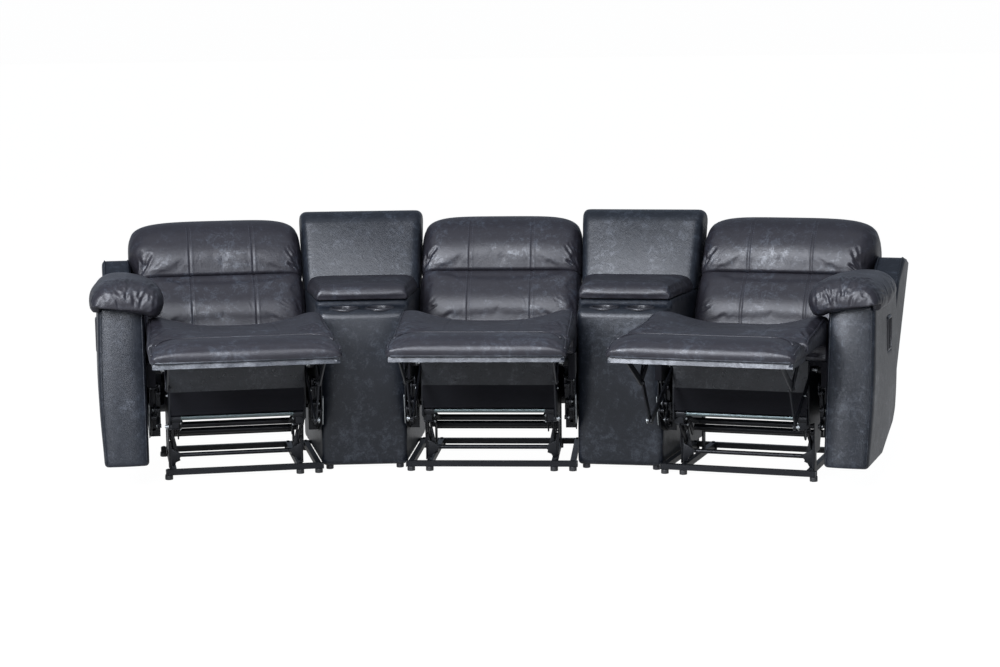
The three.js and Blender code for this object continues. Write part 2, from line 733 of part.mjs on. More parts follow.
function seatGroup(name, armSide, turn) {
  const group = aroundArc(turn);
  group.add(
    named(`${name}_base_frame`, baseFrame(armSide), steel),
    named(`${name}_torque_tube`, torqueTube(), steel),
    named(`${name}_seat_box`, seatBox(armSide), timber),
    named(`${name}_footrest_board`, footrestBoard(), timber),
    named(`${name}_footrest_pad`, footrestPad(), seatLeather),
    named(`${name}_seat_cushion`, seatCushion(), seatLeather),
    named(`${name}_back_frame`, backFrame(armSide), leather),
    named(`${name}_lumbar_cushion`, lumbarCushion(armSide), seatLeather),
    named(`${name}_head_cushion`, headCushion(armSide), seatLeather),
  );
  for (const [hand, side] of [['left', -1], ['right', 1]]) {
    group.add(
      named(`${name}_${hand}_mechanism_plate`, mechanismPlate(side), steel),
      named(`${name}_${hand}_drive_link`, driveLink(side), steel),
      named(`${name}_${hand}_ottoman_link`, ottomanLink(side), steel),
    );
  }
  if (armSide) {
    group.add(
      named(`${name}_arm`, armBody(armSide), leather),
      named(`${name}_arm_pad`, armPadSkin(armSide), seatLeather),
      named(`${name}_release_lever`, releaseLever(armSide), plastic),
    );
  }
  return group;
}

function consoleGroup(name, turn) {
  const group = aroundArc(turn);
  group.add(
    named(`${name}_console_body`, consoleBody(), leather),
    named(`${name}_console_cup_tray`, cupTray(), plastic),
    named(`${name}_console_lid`, consoleLid(), leather),
    named(`${name}_console_back_panel`, consolePanel(), leather),
  );
  return group;
}

const sofa = new THREE.Group();
sofa.name = 'reclining_sofa';
sofa.add(
  seatGroup('left', -1, seatStep),
  seatGroup('middle', 0, 0),
  seatGroup('right', 1, -seatStep),
  consoleGroup('left', seatStep / 2),
  consoleGroup('right', -seatStep / 2),
);
sofa.updateMatrixWorld(true);
const bounds = new THREE.Box3().setFromObject(sofa, true);
const middle = bounds.getCenter(new THREE.Vector3());
sofa.position.set(-middle.x, -middle.y, -bounds.min.z);

export default sofa;
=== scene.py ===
# A curved row of three reclining seats with two wedge consoles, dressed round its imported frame.
# Metres. Each seat and console is modelled in its own frame, X across, Y to the back, Z up,
# and then turned on to the arc. Backs are modelled upright: X across, -Y out to the sitter, Z up.
import math
import random

import bmesh
import bpy
import numpy as np
from mathutils import Matrix, Vector
from mathutils.bvhtree import BVHTree


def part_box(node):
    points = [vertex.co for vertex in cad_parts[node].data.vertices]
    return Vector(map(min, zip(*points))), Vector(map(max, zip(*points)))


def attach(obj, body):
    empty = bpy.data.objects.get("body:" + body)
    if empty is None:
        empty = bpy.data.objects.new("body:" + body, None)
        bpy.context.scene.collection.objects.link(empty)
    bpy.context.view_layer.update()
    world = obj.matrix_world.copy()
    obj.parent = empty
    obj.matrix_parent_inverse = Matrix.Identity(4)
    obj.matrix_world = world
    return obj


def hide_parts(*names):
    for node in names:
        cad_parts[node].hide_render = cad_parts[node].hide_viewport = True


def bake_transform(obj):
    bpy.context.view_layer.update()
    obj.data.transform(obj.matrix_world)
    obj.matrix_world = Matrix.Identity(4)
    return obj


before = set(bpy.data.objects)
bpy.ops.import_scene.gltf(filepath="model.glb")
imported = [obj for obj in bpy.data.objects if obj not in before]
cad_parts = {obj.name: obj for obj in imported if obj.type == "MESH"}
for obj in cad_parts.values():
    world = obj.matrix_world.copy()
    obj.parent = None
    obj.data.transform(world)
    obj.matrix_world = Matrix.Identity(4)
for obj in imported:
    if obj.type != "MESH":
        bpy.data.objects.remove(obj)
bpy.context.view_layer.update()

ARC_RADIUS = 3.555
SEAT_STEP = math.radians(14.88)
LEAN = math.radians(35)
SEAT_HALF = 0.310
MODULE_HALF = 0.313
TUBE = 0.020
SHIFT_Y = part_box("middle_base_frame")[0].y + TUBE / 2
NOSE_HINGE = Vector((0, -0.145, 0.550))
BOARD_PIVOT = Vector((0, -0.455, 0.400))
DRIVE_PIVOT = Vector((0, -0.050, 0.405))
KNEE = BOARD_PIVOT + DRIVE_PIVOT - NOSE_HINGE
SEATS = (("left", -1, SEAT_STEP), ("middle", 0, 0.0), ("right", 1, -SEAT_STEP))
CONSOLES = (("left", SEAT_STEP / 2), ("right", -SEAT_STEP / 2))
SIDES = (-1, 1)
ARM_SEATS = [seat for seat in SEATS if seat[1]]


def on_arc(turn):
    """From a seat's or console's own frame to its place in the row."""
    shift_y = ARC_RADIUS * math.cos(turn) - ARC_RADIUS + SHIFT_Y
    shift = Vector((-ARC_RADIUS * math.sin(turn), shift_y, 0))
    return Matrix.Translation(shift) @ Matrix.Rotation(turn, 4, "Z")


ON_BACK = Matrix.Translation((0, 0.430, 0.171)) @ Matrix.Rotation(-LEAN, 4, "X")


def wedge_half(y):
    return (ARC_RADIUS + y) * math.tan(SEAT_STEP / 2) - MODULE_HALF / math.cos(SEAT_STEP / 2)


# Objects and modifiers
def only(piece):
    bpy.ops.object.select_all(action="DESELECT")
    piece.select_set(True)
    bpy.context.view_layer.objects.active = piece


def added(operator, **settings):
    """Adds a mesh with nothing else selected."""
    bpy.ops.object.select_all(action="DESELECT")
    operator(**settings)
    return bpy.context.object


def from_points(name, points, faces):
    mesh = bpy.data.meshes.new(name)
    mesh.from_pydata([tuple(p) for p in points], [], faces)
    piece = bpy.data.objects.new(name, mesh)
    bpy.context.scene.collection.objects.link(piece)
    return piece


def face_out(piece):
    bm = bmesh.new()
    bm.from_mesh(piece.data)
    bmesh.ops.remove_doubles(bm, verts=bm.verts, dist=1e-6)
    bmesh.ops.recalc_face_normals(bm, faces=bm.faces)
    bm.to_mesh(piece.data)
    bm.free()
    return piece


def modify(piece, kind, **settings):
    modifier = piece.modifiers.new(kind.lower(), kind)
    for key, value in settings.items():
        setattr(modifier, key, value)
    only(piece)
    bpy.ops.object.modifier_apply(modifier=modifier.name)
    return piece


def soften(piece, width, segments=3, angle=30):
    """Rounds every edge sharper than the angle, and shades the piece smooth."""
    modify(piece, "BEVEL", width=width, segments=segments, limit_method="ANGLE",
           angle_limit=math.radians(angle), harden_normals=False)
    return smooth(piece)


def smooth(piece, angle=40):
    only(piece)
    bpy.ops.object.shade_smooth_by_angle(angle=math.radians(angle))
    return piece


def all_smooth(piece):
    only(piece)
    bpy.ops.object.shade_smooth()
    return piece


def subdivided(piece):
    return all_smooth(modify(piece, "SUBSURF", levels=1, render_levels=1))


def gridded(piece, levels):
    """Splits each face into a grid, so that the piece can be shaped."""
    return modify(piece, "SUBSURF", levels=levels, render_levels=levels, subdivision_type="SIMPLE")


def remeshed(piece, voxel, passes=3):
    """Gives a piece even faces and rounds them off."""
    modify(piece, "REMESH", mode="VOXEL", voxel_size=voxel)
    return modify(piece, "SMOOTH", factor=0.5, iterations=passes)


def cut(piece, cutter):
    modify(piece, "BOOLEAN", operation="DIFFERENCE", object=cutter, solver="EXACT")
    away(cutter)
    return piece


def mirror(mesh):
    mesh.transform(Matrix.Scale(-1, 4, (1, 0, 0)))
    mesh.flip_normals()


def joined(name, pieces):
    bpy.ops.object.select_all(action="DESELECT")
    for piece in pieces:
        piece.select_set(True)
    bpy.context.view_layer.objects.active = pieces[0]
    if len(pieces) > 1:
        bpy.ops.object.join()
    pieces[0].name = name
    return pieces[0]


def slab(name, outline, low, high, axis="X"):
    """An outline of two coordinates, extruded along the third: [y, z] along X, [x, y] along Z."""
    low, high = sorted((low, high))
    piece = added(bpy.ops.mesh.primitive_circle_add, vertices=len(outline), fill_type="NGON")
    piece.name = name
    for vertex, (a, b) in zip(piece.data.vertices, outline):
        vertex.co = {"X": (low, a, b), "Y": (a, low, b), "Z": (a, b, low)}[axis]
    bpy.ops.object.mode_set(mode="EDIT")
    bpy.ops.mesh.select_all(action="SELECT")
    run = high - low
    move = {"X": (run, 0, 0), "Y": (0, run, 0), "Z": (0, 0, run)}[axis]
    bpy.ops.mesh.extrude_region_move(TRANSFORM_OT_translate={"value": move})
    bpy.ops.object.mode_set(mode="OBJECT")
    return face_out(piece)


def block(name, x0, x1, y0, y1, z0, z1):
    x0, x1 = sorted((x0, x1))
    return slab(name, [(x0, y0), (x1, y0), (x1, y1), (x0, y1)], z0, z1, "Z")


def rod(name, start, end, radius, sides=16):
    start, end = Vector(start), Vector(end)
    piece = added(bpy.ops.mesh.primitive_cylinder_add, vertices=sides, radius=radius,
                  depth=(end - start).length)
    piece.name = name
    turn = (end - start).to_track_quat("Z", "Y").to_matrix().to_4x4()
    piece.data.transform(Matrix.Translation((start + end) / 2) @ turn)
    return smooth(piece)


def tube_along(name, points, radius, sides=8):
    """A round tube through the points, as one closed mesh."""
    curve = bpy.data.curves.new(name, "CURVE")
    curve.dimensions = "3D"
    curve.bevel_depth = radius
    curve.bevel_resolution = max(0, sides // 4 - 1)
    curve.use_fill_caps = True
    spline = curve.splines.new("POLY")
    spline.points.add(len(points) - 1)
    for knot, place in zip(spline.points, points):
        knot.co = (*place, 1)
    holder = bpy.data.objects.new(name, curve)
    bpy.context.scene.collection.objects.link(holder)
    only(holder)
    bpy.ops.object.convert(target="MESH")
    return all_smooth(face_out(bpy.context.object))


def copy_of(master, name, place=Matrix.Identity(4), flip=False):
    """The master with its own mesh, mirrored across X if asked, and set in its place."""
    mesh = master.data.copy()
    if flip:
        mirror(mesh)
    mesh.transform(place)
    piece = bpy.data.objects.new(name, mesh)
    bpy.context.scene.collection.objects.link(piece)
    return piece


def away(*masters):
    for master in masters:
        bpy.data.objects.remove(master)


def dress(piece, body, slot, paint, *nodes, fill=None):
    """Gives a finished piece its finish and its body, and hides the solids that it stands for; the slot is
    not used.
    """
    piece.data.materials.clear()
    piece.data.materials.append(paint)
    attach(piece, body)
    if nodes:
        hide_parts(*nodes)
    return piece


# Curves and numbers
def eased(value):
    value = min(max(value, 0.0), 1.0)
    return value * value * (3 - 2 * value)


def ramp(values, low, high):
    share = np.clip((values - low) / (high - low), 0, 1)
    return share * share * (3 - 2 * share)


def round_through(points, count):
    """A closed smooth curve through the points, sampled evenly by turn."""
    size = len(points)
    samples = []
    for k in range(count):
        at = k * size / count
        i, share = int(at), at - int(at)
        p0, p1, p2, p3 = (np.array(points[(i + j) % size], float) for j in (-1, 0, 1, 2))
        samples.append(0.5 * (2 * p1 + (p2 - p0) * share + (2 * p0 - 5 * p1 + 4 * p2 - p3) * share ** 2
                              + (3 * p1 - p0 - 3 * p2 + p3) * share ** 3))
    return samples


def skin(name, rings):
    """A closed skin through rings of equal length, its ends filled."""
    size = len(rings[0])
    points = [p for ring in rings for p in ring]
    faces = [(r * size + i, r * size + (i + 1) % size, (r + 1) * size + (i + 1) % size, (r + 1) * size + i)
             for r in range(len(rings) - 1) for i in range(size)]
    last = (len(rings) - 1) * size
    faces.append(tuple(range(size)))
    faces.append(tuple(last + i for i in range(size)))
    return face_out(from_points(name, points, faces))


# Soft work: filling, carving and stitching
def coordinates(piece):
    count = len(piece.data.vertices)
    places, normals = np.zeros(count * 3), np.zeros(count * 3)
    piece.data.vertices.foreach_get("co", places)
    piece.data.vertex_normals.foreach_get("vector", normals)
    return places.reshape(-1, 3), normals.reshape(-1, 3)


def set_coordinates(piece, places):
    piece.data.vertices.foreach_set("co", places.ravel())
    piece.data.update()


CLOTH_FRAMES = 16


def puff(piece, voxel, cap, held, pressure=4.0):
    """Remeshes a cushion, fills it with air and eases each point's move off before the cap."""
    piece.data.remesh_voxel_size = voxel
    only(piece)
    bpy.ops.object.voxel_remesh()
    start, normals = coordinates(piece)
    cloth = piece.modifiers.new("cloth", "CLOTH")
    cloth.settings.use_pressure = True
    cloth.settings.uniform_pressure_force = pressure
    cloth.settings.effector_weights.gravity = 0
    cloth.settings.quality = 4
    cloth.settings.mass = 0.25
    cloth.settings.bending_stiffness = 0.6
    cloth.collision_settings.use_collision = False
    cloth.point_cache.frame_start = 1
    cloth.point_cache.frame_end = CLOTH_FRAMES
    group = piece.vertex_groups.new(name="held")
    weights = held(start, normals)
    for index in np.nonzero(weights > 0)[0]:
        group.add([int(index)], float(weights[index]), "REPLACE")
    cloth.settings.vertex_group_mass = "held"
    for number in range(1, CLOTH_FRAMES + 1):
        bpy.context.scene.frame_set(number)
    only(piece)
    bpy.ops.object.modifier_apply(modifier=cloth.name)
    bpy.context.scene.frame_set(1)
    piece.vertex_groups.clear()
    end, _ = coordinates(piece)
    move = end - start
    length = np.maximum(np.linalg.norm(move, axis=1, keepdims=True), 1e-9)
    set_coordinates(piece, start + move * cap * np.tanh(length / cap) / length)
    return piece


def fitted(piece, half):
    """Stretches a piece across so that it reaches half its width on each side."""
    places, _ = coordinates(piece)
    places[:, 0] *= half / np.abs(places[:, 0]).max()
    set_coordinates(piece, places)
    return piece


def tree_of(piece):
    mesh = piece.data
    mesh.calc_loop_triangles()
    return BVHTree.FromPolygons([v.co.copy() for v in mesh.vertices],
                                [tuple(t.vertices) for t in mesh.loop_triangles])


def cast(tree, start, heading):
    place, normal, _, _ = tree.ray_cast(Vector(start), Vector(heading))
    return (place, normal) if place is not None else None


def from_front(tree, x, z):
    return cast(tree, (x, -1, z), (0, 1, 0))


def from_above(tree, x, y):
    return cast(tree, (x, y, 1), (0, 0, -1))


def fanned(tree, look, seed, fans, style):
    """Creases that fan out from centres, both ends of each set on the surface by look."""
    dice = random.Random(seed)
    lines = []
    for x, w, low, high, count, strength in fans:
        for _ in range(count):
            angle = math.radians(dice.uniform(low, high))
            start, length = dice.uniform(*style["start"]), dice.uniform(*style["length"])
            a, b = (look(tree, x + reach * math.cos(angle), w + reach * math.sin(angle))
                    for reach in (start, start + length))
            if a and b and (a[0] - b[0]).length < style["longest"]:
                depth = strength * dice.uniform(*style["depth"])
                lines.append((a[0], b[0], depth, dice.uniform(*style["width"])))
    return lines


def carve(piece, lines, facing=None):
    """Presses each line (from, to, depth, width) into the surface, with a swell beside it."""
    places, normals = coordinates(piece)
    shift = np.zeros(len(places))
    open_to = np.ones(len(places)) if facing is None else ramp(normals @ np.array(facing, float), 0.0, 0.35)
    for start, end, depth, width in lines:
        a, b = np.array(start, float), np.array(end, float)
        run = b - a
        reach = 4 * width
        low, high = np.minimum(a, b) - reach, np.maximum(a, b) + reach
        near = np.nonzero(np.all((places > low) & (places < high), axis=1))[0]
        if not len(near):
            continue
        share = np.clip((places[near] - a) @ run / max(run @ run, 1e-12), 0, 1)
        apart = np.linalg.norm(places[near] - (a + share[:, None] * run), axis=1) / width
        taper = np.sin(np.pi * np.clip(share * 0.86 + 0.07, 0, 1)) ** 0.8
        profile = np.exp(-apart ** 2) - 0.35 * np.exp(-((apart - 1.9) / 0.8) ** 2)
        shift[near] -= depth * taper * profile
    set_coordinates(piece, places + normals * (shift * open_to)[:, None])
    return piece


def groove(piece, axis, at, depth, width, facing, limits=None, swell=0.0):
    """Presses a seam into the surface all along a plane, where the surface faces that way."""
    places, normals = coordinates(piece)
    apart = np.abs(places[:, axis] - at) / width
    open_to = ramp(normals @ np.array(facing, float), 0.0, 0.4)
    if limits:
        other, low, high, blur = limits
        along = places[:, other]
        open_to = open_to * ramp(along, low - blur, low) * (1 - ramp(along, high, high + blur))
    shift = -depth * np.exp(-apart ** 2) + swell * np.exp(-((apart - 2.2) / 1.2) ** 2)
    set_coordinates(piece, places + normals * (shift * open_to)[:, None])
    return piece


STITCH = {"spread": 0.008, "pitch": 0.0095, "length": 0.0055, "radius": 0.0008, "lift": 0.0003}


def stitches(name, tree, ends):
    """Thread stitches, each between two ends (x, z) seen from the front."""
    length, radius = STITCH["length"], STITCH["radius"]
    hits = [from_front(tree, *end) for end in ends]
    points, faces = [], []
    for before, after in zip(hits[::2], hits[1::2]):
        if before is None or after is None or (after[0] - before[0]).length > 3 * length:
            continue
        middle = (before[0] + after[0]) / 2
        along = (after[0] - before[0]).normalized()
        up = (before[1] + after[1]).normalized()
        aside = along.cross(up).normalized()
        base = len(points)
        for end, size in ((-0.5, 0.5), (-0.3, 1), (0.3, 1), (0.5, 0.5)):
            for k in range(5):
                angle = 2 * math.pi * k / 5
                rise = STITCH["lift"] + radius * size * math.cos(angle)
                points.append(middle + along * end * length + up * rise
                              + aside * radius * size * math.sin(angle))
        for ring in range(3):
            for k in range(5):
                a, b = base + ring * 5 + k, base + ring * 5 + (k + 1) % 5
                faces.append((a, b, b + 5, a + 5))
        faces.append(tuple(base + k for k in range(5)))
        faces.append(tuple(base + 15 + k for k in range(5)))
    return all_smooth(face_out(from_points(name, points, faces)))


# Finishes
class Line:
    """One output of a finish's nodes. A sum or product of lines adds its Math nodes."""

    def __init__(self, paint, socket):
        self.paint = paint
        self.socket = socket

    def maths(self, operation, first, second, clamp=False):
        settings = {"operation": operation, "use_clamp": clamp}
        return self.paint.node("ShaderNodeMath", settings, {0: first, 1: second})

    def __add__(self, other):
        return self.maths("ADD", self, other)

    def __radd__(self, other):
        return self.maths("ADD", other, self)

    def __sub__(self, other):
        return self.maths("SUBTRACT", self, other)

    def __rsub__(self, other):
        return self.maths("SUBTRACT", other, self)

    def __mul__(self, other):
        return self.maths("MULTIPLY", self, other)

    def __rmul__(self, other):
        return self.maths("MULTIPLY", other, self)

    def clamped(self):
        return self.maths("ADD", self, 0.0, clamp=True)


class Paint:
    """A finish, built up node by node round one Principled shader."""

    def __init__(self, name, **shader):
        self.material = bpy.data.materials.new(name)
        self.material.use_nodes = True
        self.tree = self.material.node_tree
        self.tree.nodes.clear()
        self.output = self.tree.nodes.new("ShaderNodeOutputMaterial")
        self.shader = self.node("ShaderNodeBsdfPrincipled", {}, shader)
        self.tree.links.new(self.shader.socket, self.output.inputs["Surface"])
        self.place = self.node("ShaderNodeTexCoord", output="Object")

    def node(self, kind, settings=None, inputs=None, output=0):
        made = self.tree.nodes.new(kind)
        for key, value in (settings or {}).items():
            setattr(made, key, value)
        for key, value in (inputs or {}).items():
            self.feed(made.inputs[key], value)
        return Line(self, made.outputs[output])

    def feed(self, socket, value):
        if isinstance(value, Line):
            self.tree.links.new(value.socket, socket)
        elif socket.type == "RGBA" and len(value) == 3:
            socket.default_value = (*value, 1)
        else:
            socket.default_value = value

    def set(self, **sockets):
        for key, value in sockets.items():
            self.feed(self.shader.socket.node.inputs[key.replace("_", " ")], value)

    def noise(self, scale, detail=4.0, roughness=0.6, distortion=0.0):
        values = {"Vector": self.place, "Scale": scale, "Detail": detail, "Roughness": roughness,
                  "Distortion": distortion}
        return self.node("ShaderNodeTexNoise", {}, values)

    def cells(self, scale, feature="F1"):
        values = {"Vector": self.place, "Scale": scale}
        return self.node("ShaderNodeTexVoronoi", {"feature": feature}, values, "Distance")

    def level(self, value, low, high):
        """Nought below the low value, one above the high one, eased between."""
        settings = {"interpolation_type": "SMOOTHSTEP"}
        values = {"Value": value, "From Min": low, "From Max": high}
        return self.node("ShaderNodeMapRange", settings, values)

    def mix(self, share, first, second):
        made = self.tree.nodes.new("ShaderNodeMix")
        made.data_type = "RGBA"
        for key, value in ((0, share), (6, first), (7, second)):
            self.feed(made.inputs[key], value)
        return Line(self, made.outputs[2])

    def bump(self, height, distance, strength=1.0, after=None):
        values = {"Height": height, "Distance": distance, "Strength": strength}
        if after:
            values["Normal"] = after
        return self.node("ShaderNodeBump", {}, values)


def leather(name, deep, worn, rub, patch, gloss, sheen, shine=0.32):
    """Pebbled leather with soft creases, and patches rubbed to a paler, glossier tone."""
    paint = Paint(name, **{"Specular IOR Level": 0.32, "Coat Roughness": 0.30, "Sheen Weight": sheen,
                           "Sheen Roughness": 0.4, "Sheen Tint": (*rub, 1)})
    cloud = paint.noise(5.5, 5, 0.62)
    mottle = paint.noise(32, 7, 0.74, distortion=0.6)
    speck = paint.noise(170, 4, 0.7)
    patches = paint.level(cloud * 0.35 + mottle * 0.45 + speck * 0.2, 0.96 - patch, 1.10 - patch)
    flecks = paint.level(speck * 0.4 + mottle * 0.6, 0.44, 0.72)
    tone = paint.mix(cloud, deep, worn)
    colour = paint.mix((patches * 0.6 + flecks * 0.3).clamped(), tone, rub)
    paint.set(Base_Color=colour)
    paint.set(Roughness=(gloss - patches * 0.06 + (mottle - 0.5) * 0.34 + (speck - 0.5) * 0.20).clamped())
    paint.set(Coat_Weight=(patches * shine + flecks * 0.16 - 0.03).clamped())
    pebble = paint.cells(420, "SMOOTH_F1")
    crease = paint.noise(34, 5, 0.62, distortion=1.2)
    grain = paint.bump(pebble, 0.0003, 0.5)
    paint.set(Normal=paint.bump(crease, 0.0018, 0.45, grain))
    return paint.material


def steel_paint(name):
    paint = Paint(name, **{"Specular IOR Level": 0.22, "Metallic": 0.0, "Coat Roughness": 0.2})
    cloud = paint.noise(14, 4, 0.6)
    dust = paint.level(paint.noise(160, 5, 0.7), 0.52, 0.75)
    paint.set(Base_Color=paint.mix(dust * 0.35, (0.0035, 0.004, 0.0055), (0.018, 0.021, 0.026)))
    paint.set(Roughness=(0.34 + cloud * 0.14 + dust * 0.2).clamped())
    paint.set(Coat_Weight=(0.06 - dust * 0.05).clamped())
    paint.set(Normal=paint.bump(paint.noise(220, 3, 0.5), 0.0002, 0.35))
    return paint.material


def bright_steel(name, light, dark):
    """Plated steel, dulled where it has been handled."""
    paint = Paint(name, **{"Specular IOR Level": 0.5})
    dull = paint.noise(90, 5, 0.7)
    paint.set(Base_Color=paint.mix(dull, light, dark))
    paint.set(Roughness=(0.2 + dull * 0.3).clamped(), Metallic=(1.1 - dull * 0.3).clamped())
    paint.set(Normal=paint.bump(dull, 0.0002, 0.3))
    return paint.material


def moulded(name, colour, rough):
    paint = Paint(name, **{"Specular IOR Level": 0.5})
    fine = paint.noise(420, 3, 0.6)
    broad = paint.noise(9, 3, 0.6)
    paint.set(Base_Color=paint.mix(broad, colour, tuple(1.7 * c for c in colour)))
    paint.set(Roughness=(rough + (broad - 0.5) * 0.14 + (fine - 0.5) * 0.08).clamped())
    paint.set(Normal=paint.bump(fine, 0.00015, 0.4))
    return paint.material


def lining(name):
    """Black non-woven cloth under the seat: matt, with a fine dimple and slack waves."""
    paint = Paint(name, **{"Specular IOR Level": 0.16, "Sheen Weight": 0.05})
    dimple = paint.cells(330, "F1")
    wave = paint.noise(11, 3, 0.5)
    paint.set(Base_Color=paint.mix(wave, (0.0018, 0.0018, 0.0028), (0.0045, 0.0045, 0.0065)))
    paint.set(Roughness=(0.72 + wave * 0.2).clamped())
    paint.set(Normal=paint.bump(wave, 0.004, 0.35, paint.bump(dimple, 0.0003, 0.6)))
    return paint.material


def thread(name):
    paint = Paint(name, **{"Specular IOR Level": 0.3})
    twist = paint.noise(900, 2, 0.5)
    paint.set(Base_Color=paint.mix(twist, (0.025, 0.027, 0.034), (0.070, 0.075, 0.090)))
    paint.set(Roughness=(0.5 + twist * 0.2).clamped())
    paint.set(Normal=paint.bump(twist, 0.0002, 0.5))
    return paint.material


SEAT_LEATHER = leather("seat_leather", (0.0095, 0.0087, 0.0112), (0.0150, 0.0138, 0.0175),
                       (0.023, 0.028, 0.038), 0.46, 0.41, 0.03, shine=0.60)
BODY_LEATHER = leather("body_leather", (0.0040, 0.0052, 0.0075), (0.0075, 0.0092, 0.0130),
                       (0.020, 0.025, 0.034), 0.47, 0.38, 0.03)
# Paler leather for the footrest band and its piping: partly its own tone, and partly painted highlight for
# the front light that the band catches.
LIT_BOARD_LEATHER = leather("board_leather", (0.010, 0.0115, 0.0145), (0.021, 0.023, 0.028),
                        (0.052, 0.057, 0.066), 0.50, 0.38, 0.05)
# The body leather darkened to near black for the apron: painted shade, for the footrest's shade that falls on
# it.
SHADED_APRON_LEATHER = leather("shaded_apron_leather", (0.0020, 0.0026, 0.0038), (0.0040, 0.0050, 0.0070),
                        (0.011, 0.014, 0.019), 0.46, 0.32, 0.02)
STEEL = steel_paint("black_steel")
ZINC = bright_steel("zinc", (0.46, 0.48, 0.48), (0.16, 0.17, 0.17))
TUBE_STEEL = bright_steel("oiled_steel", (0.13, 0.16, 0.16), (0.05, 0.062, 0.062))
PLASTIC = moulded("black_plastic", (0.010, 0.010, 0.012), 0.3)
RUBBER = moulded("black_rubber", (0.012, 0.012, 0.012), 0.55)
LINING = lining("black_lining")
THREAD = thread("grey_thread")

# Back cushions, upright: X across, -Y out, Z up from the foot of the back
SHELL = {"thick": 0.060, "height": 0.650, "half": 0.3115}
CHANNEL = 0.120
LUMBAR = {"low": 0.264, "high": 0.490, "depth": 0.206, "half": 0.3135, "arm_half": 0.3135,
          "corner": 12.0, "end": 0.98, "rows": (0.285, 0.481)}
HEAD = {"low": 0.490, "high": 0.771, "depth": 0.212, "half": 0.3135, "arm_half": 0.350,
        "corner": 4.8, "end": 0.50, "rows": (0.505, 0.70)}
HEAD_REAR = {"overhang": 0.016, "top": 0.730}
FACE = SHELL["thick"] + 0.0003
LUMBAR_SHARES = ((0, 1), (0, 0.5), (0, 0), (0.45, 0), (0.80, 0.0), (0.845, 0.03), (0.895, 0.12),
                 (0.955, 0.25), (0.99, 0.36), (1, 0.47), (0.985, 0.60), (0.965, 0.74), (0.94, 0.87),
                 (0.905, 0.965), (0.80, 1.0), (0.3, 1))
HEAD_SHARES = ((0, 0), (0.45, 0), (0.77, 0.0), (0.84, 0.045), (0.90, 0.14), (0.955, 0.24),
               (0.985, 0.35), (0.98, 0.47), (0.91, 0.66), (0.72, 0.85), (0.40, 0.97), (0.0, 1))
PUFF_CAP = 0.0045
VOXEL = 0.008
SEAM = {"depth": 0.0026, "width": 0.0036, "swell": 0.0008}
BACK_CREASES = {"start": (0.004, 0.03), "length": (0.03, 0.085), "longest": 0.16,
                "depth": (0.0016, 0.0042), "width": (0.0035, 0.0065)}


def drawn_in(s, power):
    """One across the middle of a soft piece and nought at its ends, where s is -1 and 1."""
    return max(1 - abs(s) ** power, 0.0) ** 0.5


def back_cushion(name, size, shares, rear):
    """A crowned cushion whose ends are drawn in to a rounded side."""
    depth, rise = size["depth"] - FACE, size["high"] - size["low"]
    outline = [(FACE + t * depth, size["low"] + w * rise) for t, w in shares] + list(rear)
    section = round_through(outline, 56)
    middle_w = size["low"] + 0.42 * rise
    rings = []
    for k in range(49):
        s = -1 + k / 24
        keep = 0.60 + 0.40 * drawn_in(s, 12)
        above = size["end"] + (1 - size["end"]) * drawn_in(s, size["corner"])
        below = 0.985 + 0.015 * drawn_in(s, 14)
        rings.append([(s * size["half"], -(FACE + (t - FACE) * keep),
                       middle_w + (w - middle_w) * (above if w > middle_w else below)) for t, w in section])
    return skin(name, rings)


def rear_held(places, normals):
    """Holds the rear of a cushion, where it lies on the shell."""
    return (places[:, 1] > -FACE - 0.006).astype(float)


def seam_rows(piece, name, low, high):
    """The two stitched rows beside each seam that runs up the face."""
    ends = []
    for seam in (-CHANNEL, CHANNEL):
        for side in SIDES:
            for k in range(int((high - low) / STITCH["pitch"])):
                w = low + (k + 0.5) * STITCH["pitch"]
                ends += [(seam + side * STITCH["spread"], w + end * STITCH["length"])
                         for end in (-0.5, 0.5)]
    return stitches(name, tree_of(piece), ends)


def stuffed(name, size, shares, rear, limits, seed, corner, foot):
    """A back cushion, filled, seamed and creased; corner and foot say how its creases fan."""
    piece = puff(back_cushion(name, size, shares, rear), VOXEL, PUFF_CAP, rear_held)
    fitted(subdivided(piece), size["half"])
    for seam in (-CHANNEL, CHANNEL):
        groove(piece, 0, seam, SEAM["depth"], SEAM["width"], (0, -1, 0.2), limits, SEAM["swell"])
    x, w, low, high, count, strength = corner
    fans = ((-x, w, low, high, count, strength), (x, w, 180 - high, 180 - low, count, strength),
            (-CHANNEL, w, *foot, 2, 0.25), (CHANNEL, w, *foot, 2, 0.25))
    return carve(piece, fanned(tree_of(piece), from_front, seed, fans, BACK_CREASES))


def head_cushion():
    overhang = -HEAD_REAR["overhang"]
    rear = ((overhang, HEAD_REAR["top"]), (overhang, SHELL["height"] + 0.012),
            (SHELL["thick"] * 0.5, SHELL["height"] + 0.001), (FACE, SHELL["height"] - 0.02))
    return stuffed("head", HEAD, HEAD_SHARES, rear, (2, HEAD["low"], 0.70, 0.03), 5,
                   (0.305, HEAD["low"] + 0.004, 18, 78, 9, 1.3), (62, 118))


def lumbar_cushion():
    return stuffed("lumbar", LUMBAR, LUMBAR_SHARES, (), None, 8,
                   (0.30, LUMBAR["low"] + 0.03, 15, 70, 6, 0.6), (65, 115))


def widened(piece, side, half, arm_half):
    """Draws one side of a cushion out towards the arm, most where it clears the arm pad."""
    places, _ = coordinates(piece)
    out = ramp(side * places[:, 0], CHANNEL + 0.02, half)
    clear = 0.25 + 0.75 * ramp(places[:, 2], 0.53, 0.61)
    places[:, 0] += side * out * (arm_half - half) * (clear if arm_half - half > 0.02 else 1)
    set_coordinates(piece, places)


